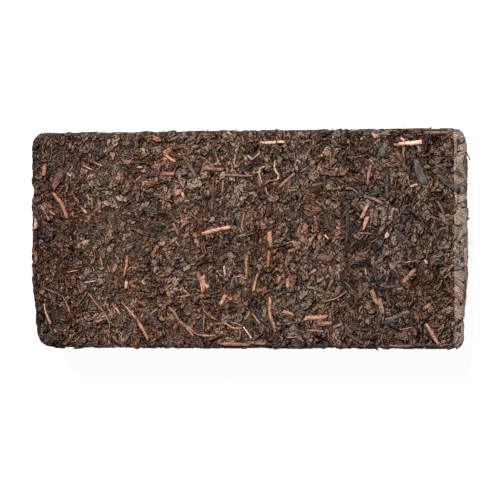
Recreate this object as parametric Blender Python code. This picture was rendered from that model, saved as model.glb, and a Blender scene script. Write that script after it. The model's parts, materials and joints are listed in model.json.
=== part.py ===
"""Fu brick tea: dark tea leaf and cut stem pressed in a mould into one hard brick.

The brick is one solid. Its core follows the mould's rounded form a little below the
mould's walls, and leaf flakes and cut stems are pressed into it, level with those walls.
Metres, +Z up, length along X, width along Y. The origin is in the middle of the underside.
"""

import math
import random

import bmesh
import bpy
from mathutils import Matrix, Vector, noise

MM = 0.001
NODE = "tea_brick"
SEED = 27

# The mould's form
BRICK_LENGTH = 250 * MM
BRICK_WIDTH = 125 * MM
BRICK_HEIGHT = 40 * MM
EDGE_ROUND = 4 * MM  # all round the face and the underside
CORNER_ROUND = {  # upright corners, by the sides of X and Y that they are on
    (-1, 1): 8 * MM,
    (1, 1): 8 * MM,
    (-1, -1): 11 * MM,
    (1, -1): 6 * MM,
}
LOWER_PULL = 2.4 * MM  # how far the two ends draw in towards the -Y corners
LOWER_PULL_SPAN = (18 * MM, 48 * MM)
UPPER_PULL = 0.8 * MM  # and towards the +Y corners
UPPER_PULL_SPAN = (40 * MM, 60 * MM)
NOTCH_DEPTH = 2.2 * MM  # a chip out of the -X end
NOTCH_AT = 28 * MM
NOTCH_REACH = 5 * MM
NOTCH_ROWS = (-3.2 * MM, 0, 3.2 * MM)  # extra rows of points across the chip
NOTCH_END = 4.2 * MM - BRICK_LENGTH / 2  # the rows stop this far along X

# The core under the flakes
CORE_DEPTH = 1.3 * MM
CORE_MESH = 12 * MM  # spacing of the core's points on the flat
EDGE_ROWS = (1.2 * MM, 4.2 * MM)  # closer rows of points beside each edge
RELIEF = ((15 * MM, 0.34 * MM), (6.5 * MM, 0.22 * MM))  # width and height of the unevenness

# Pressed leaf flakes
FLAKE_LENGTH = (10 * MM, 19 * MM)
FLAKE_SLENDER = (0.5, 0.8)  # width over length
FLAKE_CORNERS = (6, 7)
FLAKE_RAGGED = (0.82, 1.14)
FLAKE_TOP = (-0.5 * MM, 0.0)  # height of a flake's upper face against the mould's wall
FLAKE_SUNK = 2.4 * MM
FLAKE_FOOT = 1.14  # a flake spreads towards its foot
FLAKE_GAP = 0.6 * MM
FLAKE_DRAWS = 30  # places drawn for each flake, of which the roomiest is kept
CORNER_CLEAR = 14 * MM  # side flakes keep this far from the upright corners
EDGE_CLEAR = 4 * MM  # the middles of the others, this far from the sides
SIDE_BAND = (0.25, 0.75)  # side flakes have their middles in this part of the height
FACE_FLAKES = 84
SIDE_FLAKES = 44
UNDERSIDE_FLAKES = 40
RESTING_LEAF = (24 * MM, 15 * MM)  # the flat leaf in the middle of the underside

# Cut stems that show on the face: middle X, Y, direction in degrees, length, thickness
FACE_STEMS = (
    (-107, 20, -58, 15.5, 2.3),
    (-45, 37.5, -1, 7.5, 2.3),
    (-43, 46, -35, 6.5, 2.0),
    (-17, 5, 13, 16, 2.3),
    (93, 53.5, 4, 12.5, 2.9),
    (13.5, 0, -84, 8.5, 2.6),
    (12.5, -12, -96, 7.5, 1.8),
    (14, -41.5, -86, 15.5, 2.0),
    (39.5, -44.5, 5, 12, 2.9),
    (91.5, -21, 47, 10, 2.6),
    (104.5, -54, -55, 12.5, 1.8),
    (67, 8, 72, 7.5, 2.3),
    (67.5, 16.5, 64, 10, 1.8),
    (70, 35.5, 78, 10.5, 1.8),
    (-66.5, -42, -46, 11, 1.8),
    (-59, -52, -59, 13.5, 1.8),
    (-13, -34.5, 70, 5, 2.3),
    (-24.5, -26.5, -83, 7, 2.9),
    (-66.5, -16.5, -100, 10, 1.6),
    (-19, 40, -4, 12, 1.8),
    (72.5, 22, -20, 12, 2.0),
    (22.5, 33, 41, 12, 1.8),
    (-6.5, -59.5, -1, 16.5, 2.3),
    (41, -29, -17, 11, 1.6),
    (16, 53, 0, 13.5, 1.8),
    (114, 31, -35, 13, 3.4),
    (86, -3, -36, 12, 2.3),
    (85.5, -43.5, 21, 13, 2.9),
    (-54, -44.5, -49, 15.5, 2.3),
)
HIDDEN_STEMS = 22  # on the sides and the underside
HIDDEN_STEM_LENGTH = (8 * MM, 16 * MM)
HIDDEN_STEM_THICKNESS = (1.7 * MM, 2.8 * MM)
STEM_TOP = -0.1 * MM  # height of a stem's upper side against the mould's wall
STEM_BOW = 0.06  # sideways bow over length

# Two ends of twig that stand out of the +X end: from and to, height, thickness
LOOSE_TWIGS = (
    ((121.5, 52.5), (126.3, 44), 36.5, 1.5),
    ((121.5, 10), (126.2, 11.5), 33, 1.6),
)

LEAF_COLOUR = "5B473C"
LEAF_ROUGHNESS = 0.75

TOUCH = 0.01 * MM  # points closer than this are one point


def smooth_step(value, start, end):
    """0 before start, 1 after end, and an easy slope between."""
    t = min(max((value - start) / (end - start), 0.0), 1.0)
    return t * t * (3 - 2 * t)


def end_pull(side, y):
    """How far an end of the brick is drawn in at the place y across its width."""
    pull = LOWER_PULL * smooth_step(-y, *LOWER_PULL_SPAN)
    pull += UPPER_PULL * smooth_step(y, *UPPER_PULL_SPAN)
    if side < 0:
        pull += NOTCH_DEPTH * (1 - smooth_step(abs(y - NOTCH_AT), 0, NOTCH_REACH))
    return pull


def form_distance(p):
    """Distance of a point from the mould's form: below zero inside, above zero outside."""
    side = (1 if p.x > 0 else -1, 1 if p.y > 0 else -1)
    corner = CORNER_ROUND[side]
    along = abs(p.x) - BRICK_LENGTH / 2 + end_pull(side[0], p.y) + corner
    across = abs(p.y) - BRICK_WIDTH / 2 + corner
    plan = math.hypot(max(along, 0), max(across, 0)) + min(max(along, across), 0) - corner
    wall = plan + EDGE_ROUND
    level = abs(p.z - BRICK_HEIGHT / 2) - BRICK_HEIGHT / 2 + EDGE_ROUND
    return math.hypot(max(wall, 0), max(level, 0)) + min(max(wall, level), 0) - EDGE_ROUND


def form_normal(p):
    """Direction straight out of the mould's form at a point near it."""
    reach = 0.05 * MM
    steps = (Vector((reach, 0, 0)), Vector((0, reach, 0)), Vector((0, 0, reach)))
    slope = [form_distance(p + step) - form_distance(p - step) for step in steps]
    return Vector(slope).normalized()


def onto_form(point, lift):
    """The point moved straight in or out until it stands `lift` above the mould's wall."""
    p = Vector(point)
    for _ in range(4):
        p -= form_normal(p) * (form_distance(p) - lift)
    return p


def relief(p):
    """Unevenness of the core at a point, from the leaf pressed into it."""
    return sum(height * noise.noise(p / width) for width, height in RELIEF)


def cut_places(size):
    """Where the core is divided along one axis: close rows at both ends, even ones between."""
    inner = size - 2 * EDGE_ROWS[-1]
    count = max(round(inner / CORE_MESH), 2)
    places = [EDGE_ROWS[-1] + inner * i / count - size / 2 for i in range(count + 1)]
    return [EDGE_ROWS[0] - size / 2] + places + [size / 2 - EDGE_ROWS[0]]


def new_object(name, bm, collection):
    """A named object made from a bmesh, with every face split into triangles."""
    bmesh.ops.triangulate(bm, faces=bm.faces[:])
    bmesh.ops.recalc_face_normals(bm, faces=bm.faces[:])
    mesh = bpy.data.meshes.new(name)
    bm.to_mesh(mesh)
    bm.free()
    obj = bpy.data.objects.new(name, mesh)
    collection.objects.link(obj)
    return obj


def make_core(collection):
    """The pressed mass: a box divided into rows, its points moved onto the uneven form."""
    size = Vector((BRICK_LENGTH, BRICK_WIDTH, BRICK_HEIGHT))
    centre = Vector((0, 0, BRICK_HEIGHT / 2))
    bm = bmesh.new()
    bmesh.ops.create_cube(bm, size=1, matrix=Matrix.LocRotScale(centre, None, size))
    for axis in range(3):
        normal = Vector([float(axis == i) for i in range(3)])
        for place in cut_places(size[axis]):
            geometry = bm.verts[:] + bm.edges[:] + bm.faces[:]
            bmesh.ops.bisect_plane(
                bm, geom=geometry, dist=TOUCH, plane_co=centre + normal * place, plane_no=normal
            )
    for row in NOTCH_ROWS:
        near = [face for face in bm.faces if face.calc_center_median().x < NOTCH_END]
        edges = {edge for face in near for edge in face.edges}
        verts = {vert for face in near for vert in face.verts}
        bmesh.ops.bisect_plane(
            bm, geom=list(verts) + list(edges) + near, dist=TOUCH,
            plane_co=Vector((0, NOTCH_AT + row, 0)), plane_no=Vector((0, 1, 0)),
        )
    for vert in bm.verts:
        vert.co = onto_form(vert.co, relief(vert.co) - CORE_DEPTH)
    return new_object(NODE, bm, collection)


def make_flake(name, centre, direction, length, width, top, corners, rng, collection):
    """One leaf flake: a low, ragged plate pressed into the core round its centre."""
    normal = form_normal(centre)
    along = direction.cross(normal).normalized()
    across = normal.cross(along)
    ragged = [rng.uniform(*FLAKE_RAGGED) for _ in range(corners)]
    bm = bmesh.new()
    bmesh.ops.create_cone(
        bm, cap_ends=True, segments=corners, radius1=FLAKE_FOOT, radius2=1, depth=1
    )
    for vert in bm.verts:
        turn = math.atan2(vert.co.y, vert.co.x) / math.tau * corners
        reach = ragged[round(turn) % corners] / 2
        place = centre + along * (vert.co.x * length * reach)
        place += across * (vert.co.y * width * reach)
        vert.co = onto_form(place, top if vert.co.z > 0 else -FLAKE_SUNK)
    return new_object(name, bm, collection)


def spread(count, pick, taken):
    """`count` flakes, the largest first, each as far as it can be from those before it."""
    rng = random.Random(SEED + count)
    shortest, longest = FLAKE_LENGTH
    placed = []
    for i in range(count):
        length = longest + (shortest - longest) * i / count
        best, best_room = None, 0
        for _ in range(FLAKE_DRAWS):
            place = onto_form(pick(rng), 0)
            room = min((place - p).length - (size + length) / 2 for p, size in taken + placed)
            if best is None or room > best_room:
                best, best_room = place, room
        if best_room > FLAKE_GAP:
            placed.append((best, length))
    return placed


def pick_level(z):
    """A rule that draws a place on the flat of the face or the underside."""
    x = BRICK_LENGTH / 2 - EDGE_CLEAR
    y = BRICK_WIDTH / 2 - EDGE_CLEAR
    return lambda rng: Vector((rng.uniform(-x, x), rng.uniform(-y, y), z))


def pick_side(rng):
    """Draw a place on the four sides, each by its share of their length."""
    x = BRICK_LENGTH / 2
    y = BRICK_WIDTH / 2
    z = rng.uniform(*SIDE_BAND) * BRICK_HEIGHT
    side = rng.choice((-1, 1))
    if rng.random() < x / (x + y):
        return Vector((rng.uniform(CORNER_CLEAR - x, x - CORNER_CLEAR), side * y, z))
    return Vector((side * x, rng.uniform(CORNER_CLEAR - y, y - CORNER_CLEAR), z))


def make_flakes(collection):
    """Leaf flakes on the face, the sides and the underside, and the leaf that it rests on."""
    rng = random.Random(SEED)
    middle = Vector((0, 0, 0))
    length, width = RESTING_LEAF
    make_flake("resting_leaf", middle, Vector((0, 1, 0)), length, width, 0, 8, rng, collection)
    groups = (
        ("face_flake", FACE_FLAKES, pick_level(BRICK_HEIGHT), FLAKE_TOP),
        ("side_flake", SIDE_FLAKES, pick_side, FLAKE_TOP),
        ("underside_flake", UNDERSIDE_FLAKES, pick_level(0), (0, 0)),
    )
    taken = [(middle, length)]
    for name, count, pick, top in groups:
        placed = spread(count, pick, taken)
        taken += placed
        for i, (place, size) in enumerate(placed):
            direction = Vector([rng.uniform(-1, 1) for _ in range(3)])
            make_flake(
                f"{name}_{i + 1}", place, direction, size, size * rng.uniform(*FLAKE_SLENDER),
                rng.uniform(*top), rng.choice(FLAKE_CORNERS), rng, collection,
            )


def make_stem(name, points, thickness, collection):
    """A cut stem: a six-sided rod with flat cut ends along its points."""
    curve = bpy.data.curves.new(name, "CURVE")
    curve.dimensions = "3D"
    curve.bevel_depth = thickness / 2
    curve.bevel_resolution = 1
    curve.use_fill_caps = True
    spline = curve.splines.new("POLY")
    spline.points.add(len(points) - 1)
    for point, place in zip(spline.points, points):
        point.co = (*place, 1)
    rod = bpy.data.objects.new(name, curve)
    collection.objects.link(rod)
    mesh = bpy.data.meshes.new_from_object(rod.evaluated_get(bpy.context.evaluated_depsgraph_get()))
    bm = bmesh.new()
    bm.from_mesh(mesh)
    bmesh.ops.remove_doubles(bm, verts=bm.verts[:], dist=TOUCH)
    bpy.data.objects.remove(rod)
    bpy.data.curves.remove(curve)
    bpy.data.meshes.remove(mesh)
    return new_object(name, bm, collection)


def pressed_path(middle, run, bow, thickness):
    """Three points of a slightly bowed stem, its upper side level with the mould's wall."""
    lift = STEM_TOP - thickness / 2
    sideways = form_normal(middle).cross(run) * bow
    points = (middle - run / 2, middle + sideways, middle + run / 2)
    return [onto_form(point, lift) for point in points]


def make_stems(collection):
    """Cut stems: those that show on the face by hand, the rest drawn."""
    rng = random.Random(SEED + 1)
    for i, (x, y, degrees, length, thickness) in enumerate(FACE_STEMS):
        angle = math.radians(degrees)
        run = Vector((math.cos(angle), math.sin(angle), 0)) * length * MM
        middle = Vector((x * MM, y * MM, BRICK_HEIGHT))
        bow = rng.uniform(-STEM_BOW, STEM_BOW)
        path = pressed_path(middle, run, bow, thickness * MM)
        make_stem(f"face_stem_{i + 1}", path, thickness * MM, collection)
    pick_underside = pick_level(0)
    rest = max(RESTING_LEAF)
    for i in range(HIDDEN_STEMS):
        middle = onto_form(pick_side(rng) if i % 2 else pick_underside(rng), 0)
        if middle.length < rest:
            middle = onto_form(middle + Vector((2 * rest, 0, 0)), 0)
        drawn = Vector([rng.uniform(-1, 1) for _ in range(3)])
        run = form_normal(middle).cross(drawn).normalized() * rng.uniform(*HIDDEN_STEM_LENGTH)
        thickness = rng.uniform(*HIDDEN_STEM_THICKNESS)
        path = pressed_path(middle, run, rng.uniform(-STEM_BOW, STEM_BOW), thickness)
        make_stem(f"hidden_stem_{i + 1}", path, thickness, collection)
    for i, (start, end, height, thickness) in enumerate(LOOSE_TWIGS):
        path = [Vector((x * MM, y * MM, height * MM)) for x, y in (start, end)]
        make_stem(f"loose_twig_{i + 1}", path, thickness * MM, collection)


def keep_main_body(mesh):
    """Drop loose scraps, and the skins of sealed hollows, so that one full body is left."""
    bm = bmesh.new()
    bm.from_mesh(mesh)
    left = set(bm.verts)
    islands = []
    while left:
        island = {left.pop()}
        edge = list(island)
        while edge:
            vert = edge.pop()
            near = [link.other_vert(vert) for link in vert.link_edges]
            fresh = [other for other in near if other not in island]
            island.update(fresh)
            edge += fresh
        left -= island
        islands.append(island)
    main = max(islands, key=len)
    bmesh.ops.delete(bm, geom=[vert for vert in bm.verts if vert not in main], context="VERTS")
    bmesh.ops.triangulate(bm, faces=bm.faces[:])
    bm.to_mesh(mesh)
    bm.free()


def fuse(core, pieces):
    """Join every flake and stem with the core into one solid, and remove the loose ones."""
    union = core.modifiers.new("pressed_together", "BOOLEAN")
    union.operation = "UNION"
    union.operand_type = "COLLECTION"
    union.collection = pieces
    union.solver = "EXACT"
    evaluated = core.evaluated_get(bpy.context.evaluated_depsgraph_get())
    joined = bpy.data.meshes.new_from_object(evaluated)
    core.modifiers.clear()
    old = core.data
    core.data = joined
    bpy.data.meshes.remove(old)
    joined.name = core.name
    for obj in list(pieces.objects):
        bpy.data.objects.remove(obj)
    bpy.data.collections.remove(pieces)
    keep_main_body(joined)


def linear(hex_colour):
    """An sRGB hex colour as the linear values that a shader takes."""
    parts = [int(hex_colour[i : i + 2], 16) / 255 for i in (0, 2, 4)]
    return [c / 12.92 if c <= 0.04045 else ((c + 0.055) / 1.055) ** 2.4 for c in parts]


def leaf_material():
    """Dry, dark, pressed leaf."""
    material = bpy.data.materials.new("pressed_tea_leaf")
    material.use_nodes = True
    shader = material.node_tree.nodes["Principled BSDF"]
    shader.inputs["Base Color"].default_value = (*linear(LEAF_COLOUR), 1)
    shader.inputs["Roughness"].default_value = LEAF_ROUGHNESS
    shader.inputs["Metallic"].default_value = 0
    return material


def main():
    for obj in list(bpy.data.objects):
        bpy.data.objects.remove(obj)
    brick = bpy.data.collections.new("fu_brick_tea")
    pieces = bpy.data.collections.new("pressed_pieces")
    for collection in (brick, pieces):
        bpy.context.scene.collection.children.link(collection)
    core = make_core(brick)
    make_flakes(pieces)
    make_stems(pieces)
    fuse(core, pieces)
    core.data.materials.clear()
    core.data.materials.append(leaf_material())


main()
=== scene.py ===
"""Fu brick tea: the leaf, stems and dust of the pressed brick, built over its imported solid.

The brick's mass, torn leaves, rolled leaves, cut stems, fibres and crumbs are each one mesh.
They are scattered over the mould's form and pressed level with it, as the mould presses tea.
Metres, +Z up, length along X, width along Y. The origin is in the middle of the underside.
"""

import json
import math
import random

import bmesh
import bpy
from mathutils import Matrix, Vector
from mathutils.geometry import interpolate_bezier

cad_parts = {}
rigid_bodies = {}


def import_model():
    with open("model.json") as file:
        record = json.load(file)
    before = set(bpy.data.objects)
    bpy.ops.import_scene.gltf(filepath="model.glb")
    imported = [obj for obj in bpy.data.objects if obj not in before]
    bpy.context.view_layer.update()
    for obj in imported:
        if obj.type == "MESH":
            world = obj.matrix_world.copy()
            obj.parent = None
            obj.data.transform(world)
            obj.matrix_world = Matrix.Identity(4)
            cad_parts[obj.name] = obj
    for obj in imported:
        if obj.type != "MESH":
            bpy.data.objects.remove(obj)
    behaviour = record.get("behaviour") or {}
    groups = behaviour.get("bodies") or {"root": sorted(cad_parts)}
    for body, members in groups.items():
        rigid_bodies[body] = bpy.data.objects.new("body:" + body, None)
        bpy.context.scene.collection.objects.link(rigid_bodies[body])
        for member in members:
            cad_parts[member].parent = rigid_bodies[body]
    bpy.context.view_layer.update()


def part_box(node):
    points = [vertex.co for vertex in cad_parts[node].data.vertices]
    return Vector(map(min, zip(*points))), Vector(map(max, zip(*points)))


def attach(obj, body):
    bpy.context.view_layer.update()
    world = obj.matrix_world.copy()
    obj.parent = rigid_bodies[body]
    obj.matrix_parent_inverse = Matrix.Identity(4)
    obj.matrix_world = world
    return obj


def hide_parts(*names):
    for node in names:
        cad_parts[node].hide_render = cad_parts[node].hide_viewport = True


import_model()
NODE_LOW, NODE_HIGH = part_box("tea_brick")

bl_info = {
    "name": "Pressed tea brick",
    "version": (1, 0, 0),
    "blender": (4, 5, 0),
    "location": "3D View > Sidebar > Tea brick",
    "description": "Builds a brick of pressed dark tea with its leaf, stems and crumbs",
    "category": "Add Mesh",
}

MM = 0.001
NODE = "tea_brick"
BODY = "root"
FORM = "brick_form"
PLACED_STEMS = "placed_stems"
BAKE_MAP = "OFBake"
SEED = 27

# The mould's form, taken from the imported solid
FORM_LENGTH = 2 * round(-NODE_LOW.x, 3)
FORM_WIDTH = round(NODE_HIGH.y - NODE_LOW.y, 3)
FORM_HEIGHT = round(NODE_HIGH.z - NODE_LOW.z, 3)
CORNER_ROUND = {  # upright corners, by the sides of X and Y that they are on
    (-1, 1): 8 * MM,
    (1, 1): 8 * MM,
    (-1, -1): 11 * MM,
    (1, -1): 6 * MM,
}
LOWER_PULL = 2.4 * MM  # how far the two ends draw in towards the -Y corners
LOWER_PULL_SPAN = (18 * MM, 48 * MM)
UPPER_PULL = 0.8 * MM  # and towards the +Y corners
UPPER_PULL_SPAN = (40 * MM, 60 * MM)
NOTCH_DEPTH = 2.2 * MM  # a chip out of the -X end
NOTCH_AT = 28 * MM
NOTCH_REACH = 5 * MM
EDGE_ROUND = 4 * MM
FORM_MESH = 3.2 * MM
EDGE_ROWS = (0.4 * MM, 1.3 * MM, 2.6 * MM, 4.2 * MM)  # rows of the form's points at each edge

# Straight cut stems that show on the face: middle X and Y in mm, degrees from the X axis,
# length and thickness in mm, and tone on STEM_TONES, from 0 for black to 1 for straw
FACE_STEMS = (
    (-45, 37.5, -3, 7.5, 2.4, 0.5),
    (-43.2, 46.2, -37, 6.8, 1.9, 0.66),
    (-17, 5, 13, 16.5, 2.3, 0.71),
    (93, 53.8, 5, 12.8, 2.9, 0.79),
    (85.6, 52.8, -3, 4, 1.9, 0.42),
    (97.9, 50.3, -76, 3.2, 2.1, 0.45),
    (13.6, 0, -86, 9, 3.0, 0.6),
    (39.3, -44.6, 3, 12.8, 2.9, 0.64),
    (39, -52, -3, 9.5, 1.2, 0.45),
    (91.6, -21, 48, 10.2, 2.6, 0.58),
    (-13.4, -34.4, 61, 6.3, 2.4, 0.7),
    (23.5, -25, -90, 5, 2.3, 0.6),
    (26.5, -27, -84, 4.5, 1.4, 0.25),
    (18.8, -23, 68, 4.6, 1.6, 0.46),
    (23.8, -42, -17, 6.6, 2.0, 0.63),
    (64.5, -30, -88, 7, 2.1, 0.27),
    (-40.4, 6, -67, 7, 1.3, 0.48),
    (-64.5, 33.6, -38, 4.2, 1.7, 0.26),
    (-61.8, 35, 43, 4, 1.1, 0.6),
    (-19, 40.2, -5, 12.2, 2.1, 0.45),
    (-4, 36.4, -3, 15, 1.2, 0.43),
    (-32, 56.5, 29, 6.4, 2.1, 0.28),
    (23, 33, 41, 12.4, 1.9, 0.38),
    (-41.5, 57.4, 24, 6.6, 1.9, 0.29),
    (-6.7, -59.9, -2, 17, 2.2, 0.45),
    (5.8, -58.8, -4, 10.5, 2.1, 0.42),
    (-75, -39.5, -52, 8, 1.3, 0.62),
    (109.5, 17.3, -63, 8, 1.3, 0.31),
    (-29, 12, -42, 11, 1.1, 0.27),
    (-13.2, 29.8, -95, 7.5, 1.2, 0.46),
    (-24.3, -47.2, 87, 9.4, 0.9, 0.36),
    (0.2, -15.8, -92, 13.5, 1.9, 0.55),
    (-12.4, -18, -84, 5.3, 1.3, 0.72),
    (-35.4, -32.4, 15, 4.6, 1.3, 0.61),
    (5.6, -45.2, -55, 7, 0.9, 0.62),
    (30, -56, -42, 6, 1.2, 0.4),
    (-80.5, -44.5, -62, 8.5, 1.1, 0.4),
    (-95, -34, 54, 11, 1.4, 0.22),
    (-85.2, 43.4, -26, 5.8, 1.0, 0.62),
    (-101.8, 37.8, -35, 2.9, 1.1, 0.5),
    (-112, 15.5, -34, 3.5, 1.6, 0.6),
    (-39.3, -2.5, -55, 3.6, 1.3, 0.48),
    (-100, -18, 11, 6, 0.8, 0.6),
    (88.5, 0.5, -44, 12.5, 2.3, 0.11),
    (85.5, -43.5, 21, 14, 2.8, 0.15),
    (81, -47, 8, 9, 1.4, 0.05),
    (60.5, -56, -30, 12, 2.1, 0.12),
    (-54, -44.5, -47, 16, 2.6, 0.1),
    (66, -51, 0, 10, 1.4, 0.08),
    (87, -60.6, -1, 13, 1.6, 0.3),
    (101, -60, -2, 12, 1.6, 0.05),
    (123.4, 8.5, -90, 12.5, 3.0, 0.32),
    (124, -10.5, -90, 11, 2.0, 0.38),
    (-90, -24, 9, 6, 0.9, 0.9),
    (-83.5, -12.5, -76, 5, 0.9, 0.6),
    (-111.5, -56, -26, 8, 1.8, 0.12),
    (67.5, -18.5, -80, 3.5, 1.3, 0.62),
    (-91, 41.5, -27, 6, 0.9, 0.7),
    (-102, 37.5, -32, 3, 1.0, 0.8),
)
# Stems that bend or taper: points in mm; width in mm at the start, middle and end; tone
BENT_STEMS = (
    (((-111.4, 27.2), (-108.8, 24), (-106.4, 20.8), (-104.7, 17.1), (-103.2, 12.5)),
     (1.5, 2.6, 1.9), 0.6),
    (((13.6, -33.3), (13.2, -40), (13.9, -44.6), (15.6, -49.1), (16.2, -52.5)),
     (2.0, 2.0, 1.3), 0.6),
    (((12.9, -7.2), (12.6, -11.5), (12.1, -16)), (2.2, 1.9, 1.0), 0.58),
    (((-71.8, -35.6), (-66.6, -41.5), (-63, -45.6)), (0.6, 1.1, 1.5), 0.66),
    (((-63, -45.6), (-60, -50.6), (-56.3, -57.4)), (1.5, 1.9, 1.4), 0.64),
    (((69.8, 21.2), (67.6, 16.7), (65.4, 11.6)), (1.5, 2.2, 2.4), 0.64),
    (((68.7, 12.2), (67.4, 8.8), (66.2, 4.8)), (2.4, 2.4, 0.9), 0.6),
    (((70.6, 41.5), (69.3, 36.4), (68.7, 30.2)), (1.7, 1.9, 1.1), 0.5),
    (((101.2, -47.8), (104.2, -53), (108.2, -60)), (1.2, 2.0, 1.3), 0.66),
    (((66.4, 24), (72.1, 22.3), (77.7, 19.5)), (1.6, 2.0, 1.7), 0.34),
    (((56.3, 28.5), (60.2, 28), (63.6, 25.1)), (1.4, 1.5, 0.9), 0.3),
    (((34.5, -27.4), (40, -28.5), (46.5, -31.5)), (1.6, 1.7, 1.1), 0.3),
    (((44.5, -35.5), (51, -33.5), (56.5, -30)), (0.8, 1.1, 0.8), 0.36),
    (((-44.2, -38.8), (-41.3, -41.6), (-38.4, -46.7)), (0.9, 1.7, 1.1), 0.44),
    (((-38.4, -46.7), (-32.6, -50.7), (-27.5, -54.6)), (1.1, 1.3, 1.0), 0.56),
    (((-37.3, -47.3), (-33.6, -51), (-30.3, -55.2)), (0.9, 1.8, 1.2), 0.42),
    (((-28, -54.1), (-22.9, -54.9), (-17.7, -54.5)), (1.1, 1.4, 1.0), 0.62),
    (((-12, -47.7), (-7.5, -50.5), (-2.3, -50.4)), (0.8, 1.3, 1.0), 0.6),
    (((-9, -47.2), (-5.5, -48), (-2.6, -49.4)), (0.6, 0.8, 0.6), 0.62),
    (((-25.2, -38.1), (-22.9, -42.1), (-17.2, -46)), (0.7, 0.9, 0.7), 0.42),
    (((-1.8, -49.8), (1, -53.6), (3.1, -56.6)), (0.6, 0.8, 1.1), 0.8),
    (((6.4, -19.7), (5.3, -23.7), (3.9, -29.9)), (0.7, 1.3, 1.7), 0.68),
    (((-68.3, -9), (-69, -15), (-70.6, -21.6)), (1.3, 1.6, 0.7), 0.6),
    (((8.5, 55), (13, 54.6), (22, 55.2)), (0.6, 1.9, 1.7), 0.82),
    (((-91, -30.5), (-86.5, -36.5), (-82.3, -41)), (0.7, 1.2, 1.0), 0.46),
    (((-117, -36.5), (-115.8, -42), (-113.2, -48.5)), (0.7, 1.2, 1.7), 0.7),
    (((-105.5, -33), (-103, -38.5), (-101.5, -43)), (0.6, 1.1, 0.8), 0.55),
    (((-115.6, -28), (-110, -30.6), (-105.5, -32.6)), (0.8, 1.2, 0.8), 0.3),
    # curled threads of young leaf, and twigs and pale threads beside them
    (((16.7, 44.7), (16.1, 41.6), (16.9, 38.7), (18.4, 36.2), (17.9, 33.9), (15.9, 33.4)),
     (0.5, 1.3, 0.8), 0.98),
    (((10.4, 41), (8.4, 40.4), (7.5, 37.6), (8.2, 34.8), (9.1, 31.5)), (1.3, 0.8, 0.6), 0.72),
    (((11.2, 29.4), (12.2, 25.8), (16.2, 23)), (0.6, 0.9, 0.5), 0.6),
    (((9.5, 30.5), (13, 33), (15.6, 33.2)), (0.7, 1.1, 0.8), 0.34),
    (((3.9, 45.6), (5.9, 47.3), (7.9, 49.3)), (0.6, 0.6, 0.5), 0.92),
    (((1, 47.6), (2.5, 46.4), (3.7, 45.2)), (0.9, 1.1, 0.8), 0.88),
    # brown sticks and long black strips of leaf
    (((-18.5, 35.5), (-19, 25), (-19.5, 15.5)), (0.8, 1.4, 1.0), 0.26),
    (((-1, 15), (-2.5, 8), (-1.5, 4.5)), (0.6, 1.2, 0.7), 0.5),
    (((57, 20.5), (57.5, 8.5), (56.5, -3.5)), (1.4, 2.6, 1.6), 0.03),
    (((80, 36.5), (79.5, 29), (80, 22)), (1.0, 2.4, 1.4), 0.06),
    (((44, 15), (46, 9.5), (48, 4)), (0.8, 1.8, 0.8), 0.03),
    (((-112.5, 58), (-112, 51.5), (-113, 45)), (0.6, 1.0, 0.6), 0.3),
    (((-105.5, 53.5), (-105, 47), (-106, 41)), (0.8, 1.4, 0.8), 0.07),
    (((-98.5, 49), (-98, 44), (-99.5, 38.5)), (0.8, 1.4, 0.6), 0.02),
)
# Flat scraps of leaf and stem that stand out: middle X and Y in mm, degrees from the X axis,
# length and width in mm, and tone
FACE_SCRAPS = (
    (113.6, 31.6, -36, 14, 3.9, 0.08),
    (78.1, 50.6, -116, 10.5, 4.4, 0.1),
    (98.2, 37.4, -71, 14, 5.2, 0.14),
    (-24.9, -25.6, -88, 9, 3.4, 0.66),
    (-22.8, -26.4, -30, 3, 1.8, 0.86),
    (-27, -21.3, -75, 5.5, 2.4, 0.5),
    (-116.7, 40.4, -96, 6.5, 2.6, 0.54),
    (-45.3, 50, 30, 4.6, 3.6, 0.56),
    (-50.8, 57.5, -20, 4.6, 3.2, 0.5),
    (-38.6, 27, 35, 5, 2.6, 0.58),
    (-36, 25, -70, 3.4, 1.6, 0.7),
    (-52, -5.5, 60, 4.4, 2.6, 0.5),
    (-73, 36, -82, 4.6, 1.8, 0.56),
    (-61, 41.5, -5, 3, 1.3, 0.66),
    (-93.5, 17.2, -48, 5, 1.6, 0.6),
    (72.8, 58.2, -40, 4.4, 2.6, 0.62),
    (79, 59, -12, 5, 1.6, 0.44),
    (88.4, 55.8, -40, 3, 1.8, 0.7),
    (79.4, 1.8, 60, 3.4, 2.4, 0.84),
    (101, -13, -60, 2.4, 1.5, 0.93),
    (94.5, 29.9, 20, 4, 1.6, 0.66),
    (52, -29.5, 62, 7, 3.6, 0.24),
    (72.5, -33, -66, 9, 3.2, 0.46),
    (76.2, -38, -80, 9, 2.8, 0.42),
    (80, -34, -75, 9, 2.2, 0.08),
    (44, -47.8, 2, 8, 2.6, 0.44),
    (52, -49, 22, 5.6, 1.8, 0.36),
    (-121.7, 9.5, -92, 6, 2, 0.86),
    (-121.7, -9.5, -80, 6, 2.4, 0.5),
    (-59, -24.5, -60, 3, 1.6, 0.7),
    (-69, -26, 80, 4, 1.7, 0.74),
    (37.5, -18.5, 35, 5, 1.8, 0.4),
    (45.6, 1, -50, 3, 1.2, 0.86),
    (102, -38, 30, 3.4, 2.2, 0.56),
    (-109, 35, 66, 12, 4.4, 0.27),
    (42, -23, 36, 5, 1.8, 0.42),
    (44, -11, -20, 7, 5, 0.24),
)
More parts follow.
